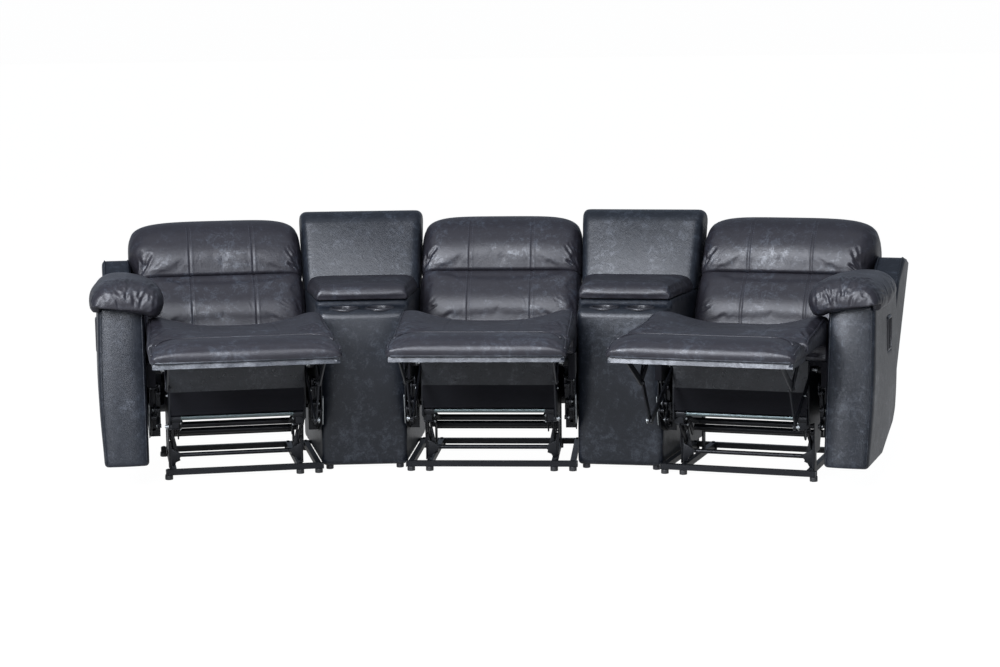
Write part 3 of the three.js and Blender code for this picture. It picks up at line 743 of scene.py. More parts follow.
def back_cushions():
    for kind, make, size in (("head", head_cushion, HEAD), ("lumbar", lumbar_cushion, LUMBAR)):
        master = make()
        for name, side, turn in SEATS:
            piece = copy_of(master, f"{name}_{kind}_pillow")
            if side:
                widened(piece, side, size["half"], size["arm_half"])
            rows = seam_rows(piece, f"{name}_{kind}_stitching", *size["rows"])
            for made in (piece, rows):
                made.data.transform(on_arc(turn) @ ON_BACK)
            back, solid = f"{name}_back", f"{name}_{kind}_cushion"
            dress(all_smooth(piece), back, "seat_leather", SEAT_LEATHER, solid, fill=0.75)
            dress(rows, back, "seat_leather", THREAD)
        away(master)


# Chaise: the seat and the footrest pad under one leather
PAD_BOTTOM = 0.5103
CHAISE_HALF = 0.311
CREST_POWER = 2.8
SHOULDER = 0.064
CHAISE_TOP = ((-0.648, 0.518), (-0.652, 0.529), (-0.648, 0.542), (-0.634, 0.555), (-0.606, 0.567),
              (-0.562, 0.574), (-0.500, 0.571), (-0.450, 0.534), (-0.428, 0.545), (-0.402, 0.560),
              (-0.368, 0.567), (-0.310, 0.565), (-0.240, 0.561), (-0.170, 0.558), (-0.100, 0.555),
              (-0.030, 0.548), (0.060, 0.520), (0.160, 0.480), (0.280, 0.445), (0.400, 0.430),
              (0.414, 0.423))
CHAISE_UNDER = ((0.416, 0.4020), (0.250, 0.4140), (0.080, 0.4277), (-0.084, 0.4405), (-0.088, 0.4700),
                (-0.110, 0.4960), (-0.170, 0.5060),
                *((y, PAD_BOTTOM) for y in (-0.230, -0.330, -0.430, -0.520, -0.600)), (-0.640, 0.5110))
CREASE_Y = -0.436
FOOT_FANS = ((-0.295, -0.40, 0, 75, 9, 1), (0.295, -0.40, 105, 180, 9, 1), (-0.30, -0.46, -80, -10, 5, 1),
             (0.30, -0.46, 190, 260, 5, 1), (0.30, -0.30, 150, 215, 5, 1), (-0.30, -0.28, -30, 30, 4, 1))
SEAT_CREASES = {"start": (0.0, 0.03), "length": (0.04, 0.13), "longest": 1.0,
                "depth": (0.0015, 0.0040), "width": (0.004, 0.007)}
FOOT_REACH = {-1: (0.013, 0.010), 0: (-0.004, -0.004), 1: (0.024, 0.0)}
WELT = {"seat": 0.0032, "arm": 0.0021, "wing": 0.0028, "piping": 0.0042}


def shoulder(x, y):
    """How far the chaise rises beside the legs: a saddle at the nose that fades to the foot."""
    fade = 0.06 + 0.94 * eased((y + 0.45) / 0.37)
    if y > 0.05:
        fade *= 1 - 0.45 * eased((y - 0.05) / 0.3)
    return SHOULDER * fade * abs(x / SEAT_HALF) ** CREST_POWER


def chaise():
    rings = []
    for k in range(45):
        s = -1 + k / 22
        x = s * CHAISE_HALF
        full, round_end = drawn_in(s, 16), drawn_in(s, 7)
        ring = list(CHAISE_UNDER)
        for y, z in reversed(CHAISE_TOP):
            base = CHAISE_UNDER[0][1] if y > -0.085 else PAD_BOTTOM
            roll = eased((CREASE_Y + 0.010 - y) / 0.03)
            share = (1 - roll) * (0.62 + 0.38 * full) + roll * (0.40 + 0.60 * round_end)
            foot = 0.012 * (1 - full) if y < -0.6 else 0
            ring.insert(0, (y + foot, base + (z + shoulder(x, y) - base) * share))
        rings.append([(x, *p) for p in round_through(ring, 120)])
    return skin("chaise", rings)


def chaise_held(places, normals):
    under = (normals[:, 2] < -0.3).astype(float)
    crease = (np.abs(places[:, 1] - CREASE_Y) < 0.008) * (normals[:, 2] > 0)
    return np.clip(under + crease, 0, 1)


def chaise_welts(tree):
    """Welts along both long edges and across the rear of the foot's roll."""
    runs = [[(side * 0.2990, -0.628 + 0.0125 * k) for k in range(49)] for side in SIDES]
    runs.append([(-0.284 + 0.01136 * k, -0.505 - 0.07 * abs(k / 25 - 1) ** 8) for k in range(51)])
    welts = []
    for run in runs:
        hits = [from_above(tree, x, y) for x, y in run]
        welts.append(tube_along("welt", [hit[0] + hit[1] * 0.0012 for hit in hits if hit], WELT["seat"]))
    return welts


def drawn_out(piece, side):
    """Sets how far a footrest reaches to each side: the end seats' footrests are the wider ones."""
    places, _ = coordinates(piece)
    front = ramp(-places[:, 1], 0.20, 0.44)
    for way, reach in zip(SIDES, FOOT_REACH[side]):
        places[:, 0] += way * reach * front * np.clip(way * places[:, 0] / SEAT_HALF, 0, 1)
    set_coordinates(piece, places)


def chaises():
    master = puff(chaise(), 0.009, 0.006, chaise_held, pressure=3.0)
    fitted(subdivided(master), 0.3122)
    groove(master, 1, CREASE_Y, 0.014, 0.007, (0, 0, 1), (0, -0.30, 0.30, 0.02), 0.003)
    for seam in (-0.130, 0.130):
        groove(master, 0, seam, 0.0022, 0.004, (0, 0, 1), (1, -0.43, 0.2, 0.01))
    carve(master, fanned(tree_of(master), from_above, 12, FOOT_FANS, SEAT_CREASES), (0, -0.3, 1))
    master = joined("chaise", [master, *chaise_welts(tree_of(master))])
    for name, side, turn in SEATS:
        piece = copy_of(master, f"{name}_chaise", flip=side == 1)
        drawn_out(piece, side)
        piece.data.transform(on_arc(turn))
        all_smooth(piece)
        piece.data.materials.clear()
        piece.data.materials.append(SEAT_LEATHER)
        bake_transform(piece)
        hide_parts(f"{name}_seat_cushion", f"{name}_footrest_pad")
    away(master)


# Footrest board: a leather-wrapped band under the pad, with piping, and its steel brackets
BOARD = {"front": -0.642, "rear": -0.430, "low": 0.500, "high": 0.510, "half": 0.298}


def footrest_band():
    half, front, rear = BOARD["half"], BOARD["front"], BOARD["rear"]
    low, top = BOARD["low"] - 0.008, BOARD["high"] + 0.004
    band = soften(gridded(block("band", -half, half, front, rear, low, top), 5), 0.005)
    places, normals = coordinates(band)
    wave = 0.0010 * np.sin(places[:, 0] * 61) + 0.0009 * np.sin(places[:, 0] * 143 + places[:, 2] * 300)
    ahead = ramp(-normals[:, 1], 0.2, 0.8)
    places += normals * (wave * ahead)[:, None]
    places[:, 1] += ahead * 0.32 * (places[:, 2] - low)
    set_coordinates(band, places)
    line = [(-half, rear, top), (-half, front + 0.012, top), (0.012 - half, front - 0.001, top),
            (half - 0.012, front - 0.001, top), (half, front + 0.012, top), (half, rear, top)]
    return band, tube_along("piping", line, WELT["piping"], 12)


def footrest_brackets():
    vee = [(-0.635, 0.504), (-0.635, 0.492), (-0.467, 0.394), (-0.455, 0.388), (-0.443, 0.394),
           (-0.300, 0.492), (-0.300, 0.504), (-0.322, 0.504), (-0.455, 0.422), (-0.613, 0.504)]
    made = []
    for side in SIDES:
        x = side * 0.2579
        made.append(soften(slab("plate", vee, x - 0.0025, x + 0.0025), 0.001, 2))
        made.append(soften(block("flange", x, x + side * 0.022, -0.635, -0.320, 0.4960, 0.5000), 0.001, 2))
        x += side * 0.012
        made += [rod("screw", (x, y, 0.4935), (x, y, 0.4965), 0.005, 10)
                 for y in (-0.60, -0.52, -0.40, -0.34)]
    return joined("bracket", made)


def footrest_boards():
    band, piping = footrest_band()
    bracket = footrest_brackets()
    for name, side, turn in SEATS:
        body = f"{name}_footrest"
        for master, kind, nodes in ((band, "band", (f"{body}_board",)), (piping, "piping", ())):
            piece = copy_of(master, f"{body}_{kind}")
            drawn_out(piece, side)
            piece.data.transform(on_arc(turn))
            # The band's paler leather holds painted highlight as well as its own tone.
            dress(piece, body, "board_leather", LIT_BOARD_LEATHER, *nodes)
        dress(copy_of(bracket, f"{body}_brackets", on_arc(turn)), body, "steel", STEEL)
    away(band, piping, bracket)


# Arm, drawn for the right: the body with its welted front, its pad and its lever
ARM = {"inner": 0.318, "outer": 0.470, "low": 0.092, "top": 0.650, "front_top": -0.135,
       "front_low": -0.215, "rear": 0.320}
ARM_PAD = {"inner": 0.248, "outer": 0.504, "height": 0.088, "droop": 0.022, "sag": 0.028,
           "front": -0.212, "rear": 0.282}
PAD_BASE = ARM["top"] + 0.0005
PAD_SIZES = ((0, 0.34), (0.02, 0.60), (0.05, 0.80), (0.10, 0.93), (0.18, 1), (0.4, 1), (0.65, 0.96),
             (0.88, 0.9), (0.97, 0.8), (1, 0.66))
PAD_MIDDLE = 0.376
RECESS = {"y": 0.140, "low": 0.462, "high": 0.572, "half": 0.033, "depth": 0.024}


def arm_body():
    outline = [(ARM["front_low"], ARM["low"]), (0.090, ARM["low"]), (0.288, 0.171), (ARM["rear"], 0.215),
               (ARM["rear"], ARM["top"]), (ARM["front_top"], ARM["top"])]
    body = slab("arm", outline, ARM["inner"], ARM["outer"])
    outer, y = ARM["outer"], RECESS["y"]
    cut(body, block("cutter", outer - RECESS["depth"] - 0.004, outer + 0.05, y - RECESS["half"] - 0.005,
                    y + RECESS["half"] + 0.003, RECESS["low"] - 0.004, RECESS["high"] + 0.004))
    soften(body, 0.012, 4, 25)
    remeshed(body, 0.0055)
    places, normals = coordinates(body)
    low_share = 1 - ramp(places[:, 2], ARM["low"], 0.42)
    outer_share = ramp(places[:, 0], ARM["inner"] + 0.02, ARM["outer"])
    bow = np.sin(np.pi * np.clip((places[:, 2] - ARM["low"]) / (ARM["top"] - ARM["low"]), 0, 1))
    places[:, 0] += outer_share * (0.008 + 0.006 * bow - 0.006 * low_share ** 2)
    across = (places[:, 0] - ARM["inner"]) / (ARM["outer"] - ARM["inner"]) * 2 - 1
    crown = np.clip(1 - np.abs(across) ** 2.2, 0, 1)
    places[:, 1] -= (0.006 * bow + 0.015 * crown) * ramp(-normals[:, 1], 0.3, 0.9)
    set_coordinates(body, places)
    return body


def arm_welts(tree):
    """Welts where the arm's front panel meets its sides."""
    tall = ARM["top"] - ARM["low"]
    welts = []
    for x in (ARM["inner"] + 0.010, ARM["outer"] - 0.014):
        line = []
        for k in range(40):
            z = ARM["low"] + 0.012 + (tall - 0.02) * k / 39
            bow = math.sin(math.pi * (z - ARM["low"]) / tall)
            hit = from_front(tree, x + (0.008 + 0.006 * bow if x > 0.4 else 0), z)
            if hit:
                line.append(hit[0] + hit[1] * 0.0008)
        welts.append(tube_along("welt", line, WELT["arm"]))
    return joined("welts", welts)


def arm_pad():
    """A stuffed pad that laps over both sides of the arm, gathered at its front."""
    steps, base = 40, PAD_BASE
    rings = []
    for k in range(steps + 1):
        at = k / steps
        size = np.interp(at, *zip(*PAD_SIZES))
        y = ARM_PAD["front"] + at * (ARM_PAD["rear"] - ARM_PAD["front"])
        taper = min(max((y - 0.060) / 0.190, 0), 1)
        inner_full = ARM_PAD["inner"] + (0.311 - ARM_PAD["inner"]) * taper
        outer_full = ARM_PAD["outer"] + (0.488 - ARM_PAD["outer"]) * taper
        low = base - ARM_PAD["droop"] * size
        inner = 0.3117 + (inner_full - 0.3117) * size
        outer = 0.4763 + (outer_full - 0.4763) * size
        middle, half = (inner + outer) / 2, (outer - inner) / 2
        sag = ARM_PAD["sag"] * size * (1 - taper)
        edge, under = low, base
        if y < -0.158:
            edge, under = base + 0.004, low - 0.55 * sag
        ring = [(0.3172, under), (0.394, (under + base) / 2), (0.4708, base), (0.4712, edge),
                (outer - 0.012, edge), (outer - 0.003, edge + 0.007)]
        for i in range(19):
            angle = math.pi * i / 18
            reach = math.copysign(abs(math.cos(angle)) ** 0.8, math.cos(angle))
            rise = ARM_PAD["height"] * size * abs(math.sin(angle)) ** 0.8
            ring.append((middle + half * reach, base + rise))
        lap = 0.3145 - inner
        ring += [(inner + 0.10 * lap, low + 0.1 * sag), (inner + 0.30 * lap, low - 0.75 * sag),
                 (inner + 0.62 * lap, low - sag), (0.3145, low - 0.6 * sag)]
        rings.append([(x, y, z) for x, z in ring])
    return skin("arm_pad", rings)


def pad_held(places, normals):
    inside = (places[:, 0] > 0.312) & (places[:, 0] < 0.476) & (places[:, 2] < PAD_BASE + 0.008)
    return inside.astype(float)


def pad_creases(tree, seed):
    """Gathers that run back and up from the pad's front, and short tucks along its lower edges."""
    dice = random.Random(seed)
    lines = []

    def add(first, second, depth, width):
        if first and second and (first[0] - second[0]).length < 0.17:
            lines.append((first[0], second[0], depth, width))

    for _ in range(24):
        x = dice.uniform(0.262, 0.492)
        lean = (x - PAD_MIDDLE) * dice.uniform(0.15, 0.5) + dice.uniform(-0.012, 0.012)
        y = ARM_PAD["front"] + dice.uniform(0.004, 0.05)
        add(from_above(tree, x, y), from_above(tree, x + lean, y + dice.uniform(0.05, 0.12)),
            dice.uniform(0.0018, 0.0042), dice.uniform(0.0045, 0.0080))
    for _ in range(22):
        x = dice.uniform(0.262, 0.492)
        z = dice.uniform(0.648, 0.70)
        lean = (x - PAD_MIDDLE) * dice.uniform(0.05, 0.4)
        add(from_front(tree, x, z), from_front(tree, x + lean, z + dice.uniform(0.025, 0.055)),
            dice.uniform(0.0018, 0.0040), dice.uniform(0.004, 0.007))
    for side, x in ((-1, 0.2), (1, 0.6)):
        for _ in range(14):
            y, z = dice.uniform(-0.19, 0.20), dice.uniform(0.640, 0.68)
            end = (x, y + dice.uniform(-0.01, 0.05), z + dice.uniform(0.02, 0.05))
            add(cast(tree, (x, y, z), (-side, 0, 0)), cast(tree, end, (-side, 0, 0)),
                dice.uniform(0.0015, 0.003), dice.uniform(0.004, 0.007))
    return lines


def release_lever():
    pin_x, pin_y = 0.4513, 0.1123
    pin = rod("pin", (pin_x, pin_y, 0.466), (pin_x, pin_y, 0.568), 0.005, 20)
    paddle = block("paddle", pin_x, pin_x + 0.005, pin_y, RECESS["y"] + RECESS["half"] - 0.004, 0.470, 0.564)
    return joined("lever", [pin, soften(paddle, 0.0022)])


def recess_cup():
    """The moulded bezel round the lever's recess."""
    x, y = ARM["outer"], RECESS["y"]
    outer = soften(block("bezel", x - 0.004, x + 0.0165, y - 0.041, y + 0.041, 0.454, 0.580), 0.010, 4)
    cut(outer, block("hole", x - 0.05, x + 0.05, y - 0.031, y + 0.031, 0.464, 0.570))
    return soften(outer, 0.0008, 2)


def arms():
    body = arm_body()
    welts = arm_welts(tree_of(body))
    pad = subdivided(puff(arm_pad(), 0.007, 0.006, pad_held, pressure=3.0))
    carve(pad, pad_creases(tree_of(pad), 21))
    lever, bezel = release_lever(), recess_cup()
    smooth(body)
    for name, side, turn in ARM_SEATS:
        carriage = f"{name}_carriage"
        cover, edges, top, rim, paddle = (
            copy_of(master, f"{name}_{kind}", on_arc(turn), side < 0)
            for master, kind in ((body, "arm_cover"), (welts, "arm_welts"), (pad, "arm_top"),
                                 (bezel, "lever_bezel"), (lever, "lever_paddle")))
        dress(cover, carriage, "body_leather", BODY_LEATHER, f"{name}_arm")
        dress(edges, carriage, "body_leather", BODY_LEATHER)
        dress(all_smooth(top), carriage, "seat_leather", SEAT_LEATHER, f"{name}_arm_pad", fill=0.6)
        dress(rim, carriage, "black_plastic", PLASTIC)
        dress(paddle, f"{name}_lever", "black_plastic", PLASTIC, f"{name}_release_lever")
    away(body, welts, pad, lever, bezel)


# Back shell and wings
WING = {"inner": 0.342, "outer": 0.450, "depth": 0.175, "low_depth": 0.126, "low_rise": 0.070,
        "top_depth": 0.112, "top": 0.600, "shoulder": 0.470}
WING_WELT = ((-0.1745, 0.09), (-0.1745, 0.466), (-0.1145, 0.597), (-0.104, 0.608), (-0.014, 0.6485),
             (-0.002, 0.640))
LUG = {"x": 0.2468, "half": 0.0025, "y": 0.400, "z": 0.300, "radius": 0.022}


def back_shell(side):
    reach = [-SHELL["half"], SHELL["half"]]
    if side:
        reach[0 if side < 0 else 1] = side * (WING["inner"] + 0.004)
    face, top = 0.001 - SHELL["thick"], SHELL["height"] - 0.001
    shell = slab("shell", [(0, 0), (0, top), (face, top), (face, 0)], *reach)
    return remeshed(soften(shell, 0.012, 4), 0.008)


def wing(side):
    depth, top_depth, top = WING["depth"], WING["top_depth"], WING["top"]
    outline = [(0, 0), (0, SHELL["height"]), (-0.014, SHELL["height"] - 0.002),
               (0.010 - top_depth, top + 0.010), (-top_depth, top - 0.006), (-depth, WING["shoulder"]),
               (-depth, WING["low_rise"]), (-WING["low_depth"], 0)]
    piece = slab("wing", outline, side * WING["inner"], side * WING["outer"])
    return remeshed(soften(piece, 0.016, 4, 20), 0.006, 4)


def back_lugs():
    lugs = []
    for side in SIDES:
        low, high = side * LUG["x"] - LUG["half"], side * LUG["x"] + LUG["half"]
        lugs.append(rod("lug", (low, LUG["y"], LUG["z"]), (high, LUG["y"], LUG["z"]), LUG["radius"], 28))
        lugs.append(slab("foot", [(0.387, 0.318), (0.413, 0.282), (0.464, 0.238), (0.484, 0.268)], low, high))
    return soften(joined("lugs", lugs), 0.0008, 2)


def back_shells():
    lugs = back_lugs()
    for name, side, turn in SEATS:
        back, place = f"{name}_back", on_arc(turn) @ ON_BACK
        pieces = [back_shell(side)]
        if side:
            pieces.append(wing(side))
            welts = joined(f"{name}_wing_welts", [
                tube_along("welt", [(side * x, y, z) for y, z in WING_WELT], WELT["wing"])
                for x in (WING["inner"] + 0.010, WING["outer"] - 0.010)])
            welts.data.transform(place)
            dress(welts, back, "body_leather", BODY_LEATHER)
        dress(copy_of(lugs, f"{name}_back_lugs", on_arc(turn)), back, "steel", STEEL)
        made = smooth(joined(f"{name}_back_shell", pieces))
        made.data.transform(place)
        dress(made, back, "body_leather", BODY_LEATHER, f"{name}_back_frame")
    away(lugs)


# Consoles
PEDESTAL = {"front": 0.048, "rear": 0.690, "deck": 0.586, "rim": 0.610, "rim_y": 0.172, "round": 0.026,
            "low": 0.016}
CUP = {"y": 0.112, "pitch": 0.130, "bore": 0.045, "depth": 0.066, "rim": 0.056}
LID = {"front": 0.166, "rear": 0.505, "height": 0.056}
PANEL = {"base_y": 0.512, "top_y": 0.642, "top": 0.898, "thick": 0.125}


def wedge_slab(name, outline, inset, voxel, round_edge, passes=3):
    """An outline in [y, z], extruded across and tapered to follow the seats beside it."""
    piece = slab(name, outline, -1, 1)
    for vertex in piece.data.vertices:
        vertex.co.x *= wedge_half(vertex.co.y) - inset
    return remeshed(soften(piece, round_edge, 4, 25), voxel, passes)


def console_body():
    low, rear, rim, rim_y = (PEDESTAL[key] for key in ("low", "rear", "rim", "rim_y"))
    top, bend = PEDESTAL["deck"], PEDESTAL["round"]
    nosing = [(PEDESTAL["front"] + bend + bend * math.cos(a), top - bend + bend * math.sin(a))
              for a in (math.pi / 2 + math.pi / 2 * k / 6 for k in range(7))]
    outline = [(rear, low), (rear, rim), (rim_y, rim), (rim_y, top), *nosing, (PEDESTAL["front"], low)]
    body = wedge_slab("body", outline, 0.0, 0.008, 0.012)
    half = wedge_half(0.204) - 0.028
    cutters = [block("pocket", -half, half, 0.206, 0.468, 0.332, 0.70)]
    for side in SIDES:
        x, bottom = side * CUP["pitch"] / 2, top - CUP["depth"] - 0.002
        cutters.append(rod("bore", (x, CUP["y"], bottom), (x, CUP["y"], 0.7), CUP["bore"] + 0.0055, 48))
    cut(body, joined("cutter", cutters))
    places, normals = coordinates(body)
    rise = np.clip((places[:, 2] - low) / (top - low), 0, 1)
    across = np.clip(np.abs(places[:, 0]) / wedge_half(PEDESTAL["front"]), 0, 1)
    swell = 0.017 * np.sin(np.pi * rise ** 1.5) * (1 - across ** 4) * ramp(-normals[:, 1], 0.2, 0.7)
    places[:, 1] -= swell * (places[:, 1] < 0.1)
    set_coordinates(body, places)
    return body


def cup_tray():
    """Two moulded cups with rolled rims, set in the console's front deck."""
    z, bore, rim = PEDESTAL["deck"] - 0.001, CUP["bore"], CUP["rim"]
    bottom = z - CUP["depth"]
    profile = [(bore - 0.004, bottom), (bore, bottom + 0.005), (bore, z + 0.003),
               (bore + 0.002, z + 0.0058), (rim - 0.003, z + 0.0055), (rim, z + 0.002), (rim, z - 0.004),
               (bore + 0.003, z - 0.005), (bore + 0.003, bottom - 0.004)]
    turns = [2 * math.pi * k / 56 for k in range(56)]
    cups = []
    for side in SIDES:
        x, y = side * CUP["pitch"] / 2, CUP["y"]
        rings = [[(x + radius * math.cos(a), y + radius * math.sin(a), height) for a in turns]
                 for radius, height in profile]
        cups.append(soften(skin("cup", rings), 0.001, 2))
    return joined("cups", cups)


def console_lid():
    """A padded lid whose front is rolled."""
    base = PEDESTAL["rim"] + 0.001
    run = LID["rear"] - LID["front"]
    shares = ((1, 0), (0.5, 0), (0.035, 0), (0.004, 0.14), (-0.010, 0.38), (-0.004, 0.62), (0.024, 0.84),
              (0.075, 0.97), (0.15, 1.0), (0.4, 1), (0.7, 1), (0.98, 0.94))
    section = round_through([(LID["front"] + a * run, base + b * LID["height"]) for a, b in shares], 60)
    rings = []
    for k in range(33):
        s = -1 + k / 16
        keep = 0.45 + 0.55 * drawn_in(s, 16)
        rings.append([(s * (wedge_half(y) - 0.0030), y, base + (z - base) * keep if z > base + 0.012 else z)
                      for y, z in section])
    return subdivided(puff(skin("lid", rings), 0.008, 0.003, lid_held, pressure=2.0))


def lid_held(places, normals):
    return (normals[:, 2] < -0.5).astype(float)


def console_panel():
    base, top, front = PEDESTAL["rim"] + 0.001, PANEL["top"], PANEL["top_y"]
    rear = front + PANEL["thick"]
    outline = [(PANEL["base_y"] - 0.02, base - 0.045), (PEDESTAL["rear"] - 0.02, base - 0.045),
               (rear, top - 0.034), (rear - 0.034, top), (front + 0.030, top), (front - 0.006, top - 0.030)]
    piece = wedge_slab("panel", outline, 0.0015, 0.008, 0.024, 6)
    cut(piece, block("trim", -1, 1, 0, 1, base - 0.2, base))
    places, normals = coordinates(piece)
    rise = np.clip((places[:, 2] - base) / (top - base), 0, 1)
    crown = np.clip(1 - (places[:, 0] / wedge_half(0.58)) ** 2, 0, 1) * np.sin(np.pi * rise)
    places += normals * (0.008 * crown * ramp(-normals[:, 1], 0.3, 0.8))[:, None]
    set_coordinates(piece, places)
    return piece


def glide(x, y, top):
    """A moulded foot with a rolled lower edge."""
    return soften(rod("foot", (x, y, 0.0), (x, y, top), 0.0138, 28), 0.003, 3, 40)


def console_feet():
    feet = [glide(side * (wedge_half(y) - 0.03), y, 0.022)
            for y in (PEDESTAL["front"] + 0.03, PEDESTAL["rear"] - 0.03) for side in SIDES]
    return joined("console_feet", feet)


def consoles():
    rows = ((console_body(), "body", "body_leather", BODY_LEATHER),
            (cup_tray(), "cup_tray", "black_plastic", PLASTIC),
            (console_lid(), "lid", "body_leather", SEAT_LEATHER),
            (console_panel(), "back_panel", "body_leather", BODY_LEATHER))
    feet = console_feet()
    for name, turn in CONSOLES:
        for master, kind, slot, paint in rows:
            piece = smooth(copy_of(master, f"{name}_console_{kind}_cover", on_arc(turn)))
            body, fill = (f"{name}_lid", 0.8) if kind == "lid" else ("root", None)
            dress(piece, body, slot, paint, f"{name}_console_{kind}", fill=fill)
        dress(copy_of(feet, f"{name}_console_feet", on_arc(turn)), "root", "black_plastic", PLASTIC)
    away(feet, *(row[0] for row in rows))


# Seat box: leather apron in front, its leather painted darker as painted shade from the footrest, black
# lining beneath it
def aprons():
    top, low, lining_low = 0.440, 0.330, 0.247
    apron = gridded(block("apron", -0.240, 0.240, -0.0905, -0.0855, low, top), 5)
    places, _ = coordinates(apron)
    dice = random.Random(4)
    wave = 0
    for _ in range(6):
        depth = dice.uniform(0.0003, 0.0009)
        across = places[:, 0] * dice.uniform(14, 60) + dice.uniform(0, 6)
        wave = wave + depth * np.sin(across + places[:, 2] * dice.uniform(-20, 20))
    low_share = 1 - ramp(places[:, 2], low, top)
    places[:, 1] -= (0.002 + np.abs(wave)) * low_share
    set_coordinates(apron, places)
    cloth = gridded(block("cloth", -0.2385, 0.2385, -0.0900, -0.0870, lining_low, low + 0.004), 4)
    places, _ = coordinates(cloth)
    places[:, 1] -= 0.0016 * np.abs(np.sin(places[:, 0] * 37) * np.sin(places[:, 2] * 61))
    set_coordinates(cloth, places)
    # The apron's leather is darker than the body leather: painted shade from the footrest above it.
    rows = ((smooth(apron), "apron", "body_leather", SHADED_APRON_LEATHER),
            (smooth(cloth), "apron_lining", "frame_cloth", LINING))
    for name, _, turn in SEATS:
        for master, kind, slot, paint in rows:
            dress(copy_of(master, f"{name}_{kind}", on_arc(turn)), f"{name}_carriage", slot, paint)
    away(apron, cloth)


# Mechanism: the steel solids keep their shape, and the small work is added
def rivet(x, y, z, side, radius=0.009, proud=0.004):
    head = rod("rivet", (x, y, z), (x + side * proud, y, z), radius, 20)
    collar = rod("collar", (x, y, z), (x + side * proud * 1.7, y, z), radius * 0.5, 16)
    return joined("rivet", [soften(head, 0.0012, 2), soften(collar, 0.0008, 2)])


def spring(name, start, end, radius, wire, turns):
    start, end = Vector(start), Vector(end)
    along = (end - start).normalized()
    side = along.orthogonal().normalized()
    other = along.cross(side)
    length = (end - start).length
    hook = 0.16 * length
    line = [start]
    steps = turns * 12
    for k in range(steps + 1):
        angle = 2 * math.pi * k / 12
        at = hook + (length - 2 * hook) * k / steps
        line.append(start + along * at + side * radius * math.cos(angle) + other * radius * math.sin(angle))
    line.append(end)
    return tube_along(name, line, wire, 6)


def link_bar(x, side, start, end, width, thick=0.005):
    """A flat link with round ends, standing outside the plane X = x."""
    (y0, z0), (y1, z1) = start, end
    heading = math.atan2(z1 - z0, y1 - y0)
    outline = []
    for (y, z), base in (((y1, z1), -math.pi / 2), ((y0, z0), math.pi / 2)):
        for k in range(9):
            angle = heading + base + math.pi * k / 8
            outline.append((y + width * math.cos(angle), z + width * math.sin(angle)))
    return soften(slab("link", outline, x, x + side * thick), 0.001, 2)


# Across each side of a seat: the carriage's plate, where the links stand out, and the floor frame's plate
PLATE = {"in": 0.2398, "out": 0.2680, "floor": 0.2400, "links": 0.2456, "spring": 0.200}
# Links that stand still beside the plate: distance out, two pins and half a width
OUTER_LINKS = (
    (0.2680, (-0.044, 0.345), (0.050, 0.240), 0.016), (0.2740, (0.050, 0.240), (-0.046, 0.205), 0.015),
    (0.2800, (-0.046, 0.322), (0.014, 0.196), 0.016), (0.2860, (-0.044, 0.262), (0.120, 0.306), 0.017),
    (0.2920, (-0.040, 0.340), (-0.006, 0.222), 0.015), (0.2980, (-0.046, 0.236), (0.060, 0.168), 0.014),
    (0.2680, (0.150, 0.318), (0.205, 0.215), 0.014), (0.2800, (0.205, 0.215), (0.330, 0.300), 0.014),
)
INNER_LINKS = (
    (0.2030, (-0.030, 0.236), (0.050, 0.150), 0.014), (0.2105, (-0.060, 0.215), (0.040, 0.236), 0.013),
    (0.2180, (-0.060, 0.240), (0.010, 0.170), 0.014), (0.2255, (-0.040, 0.190), (0.047, 0.120), 0.013),
)
OUTER_HEADS = ((0.2990, -0.040, 0.340), (0.2810, -0.046, 0.205), (0.2930, -0.044, 0.262),
               (0.2990, -0.006, 0.222), (0.3035, 0.060, 0.168), (0.2870, 0.330, 0.300))
PLATE_RIVETS = ((0.30, 0.36, 0.008), (0.08, 0.30, 0.009), (0.20, 0.33, 0.008), (0.04, 0.215, 0.010),
                (0.10, 0.130, 0.009), (-0.069, 0.234, 0.012), (0.05, 0.118, 0.009), (0.12, 0.19, 0.008))
# Flanges that face the front: from and to across, front, from and to in height
FLANGES = ((PLATE["out"], 0.3040, -0.030, 0.272, 0.352), (PLATE["out"], 0.3040, -0.012, 0.196, 0.262),
           (0.2080, 0.2390, -0.074, 0.198, 0.246), (PLATE["out"], 0.3050, 0.064, 0.148, 0.280))
# Flat steel: name, from and to across, rounding and outline in [y, z]
CARRIAGE_FLATS = (
    ("carrier", 0.3045, 0.3080, 0.001, ((-0.050, 0.345), (-0.056, 0.240), (-0.010, 0.165), (0.080, 0.140),
                                        (0.300, 0.190), (0.400, 0.330), (0.380, 0.372))),
    ("cleat", 0.2455, 0.3045, 0.002, ((-0.020, 0.389), (-0.020, 0.415), (0.41, 0.392), (0.41, 0.366))),
    ("ear", 0.2352, 0.2392, 0.003, ((-0.095, 0.212), (-0.040, 0.212), (-0.030, 0.262), (-0.060, 0.300),
                                    (-0.095, 0.270))),
)
LUG_OUTLINE = ((0.025, 0.036), (0.069, 0.036), (0.060, 0.142), (0.047, 0.150), (0.034, 0.142))
# Steel that faces the front, drawn for the right: name, front, rear, rounding and outline in [x, z]
BASE_FLATS = (
    ("hook", 0.036, 0.040, 0.001, ((0.190, 0.083), (0.236, 0.108), (0.240, 0.046), (0.224, 0.040),
                                   (0.213, 0.060))),
    ("stay", 0.052, 0.058, 0.0015, ((0.200, 0.058), (0.220, 0.050), (0.239, 0.150), (0.221, 0.156))),
)
FOOT_ROWS = (0.0, 0.462)


def across_rod(name, side, x0, x1, y, z, radius, sides):
    return rod(name, (side * x0, y, z), (side * x1, y, z), radius, sides)


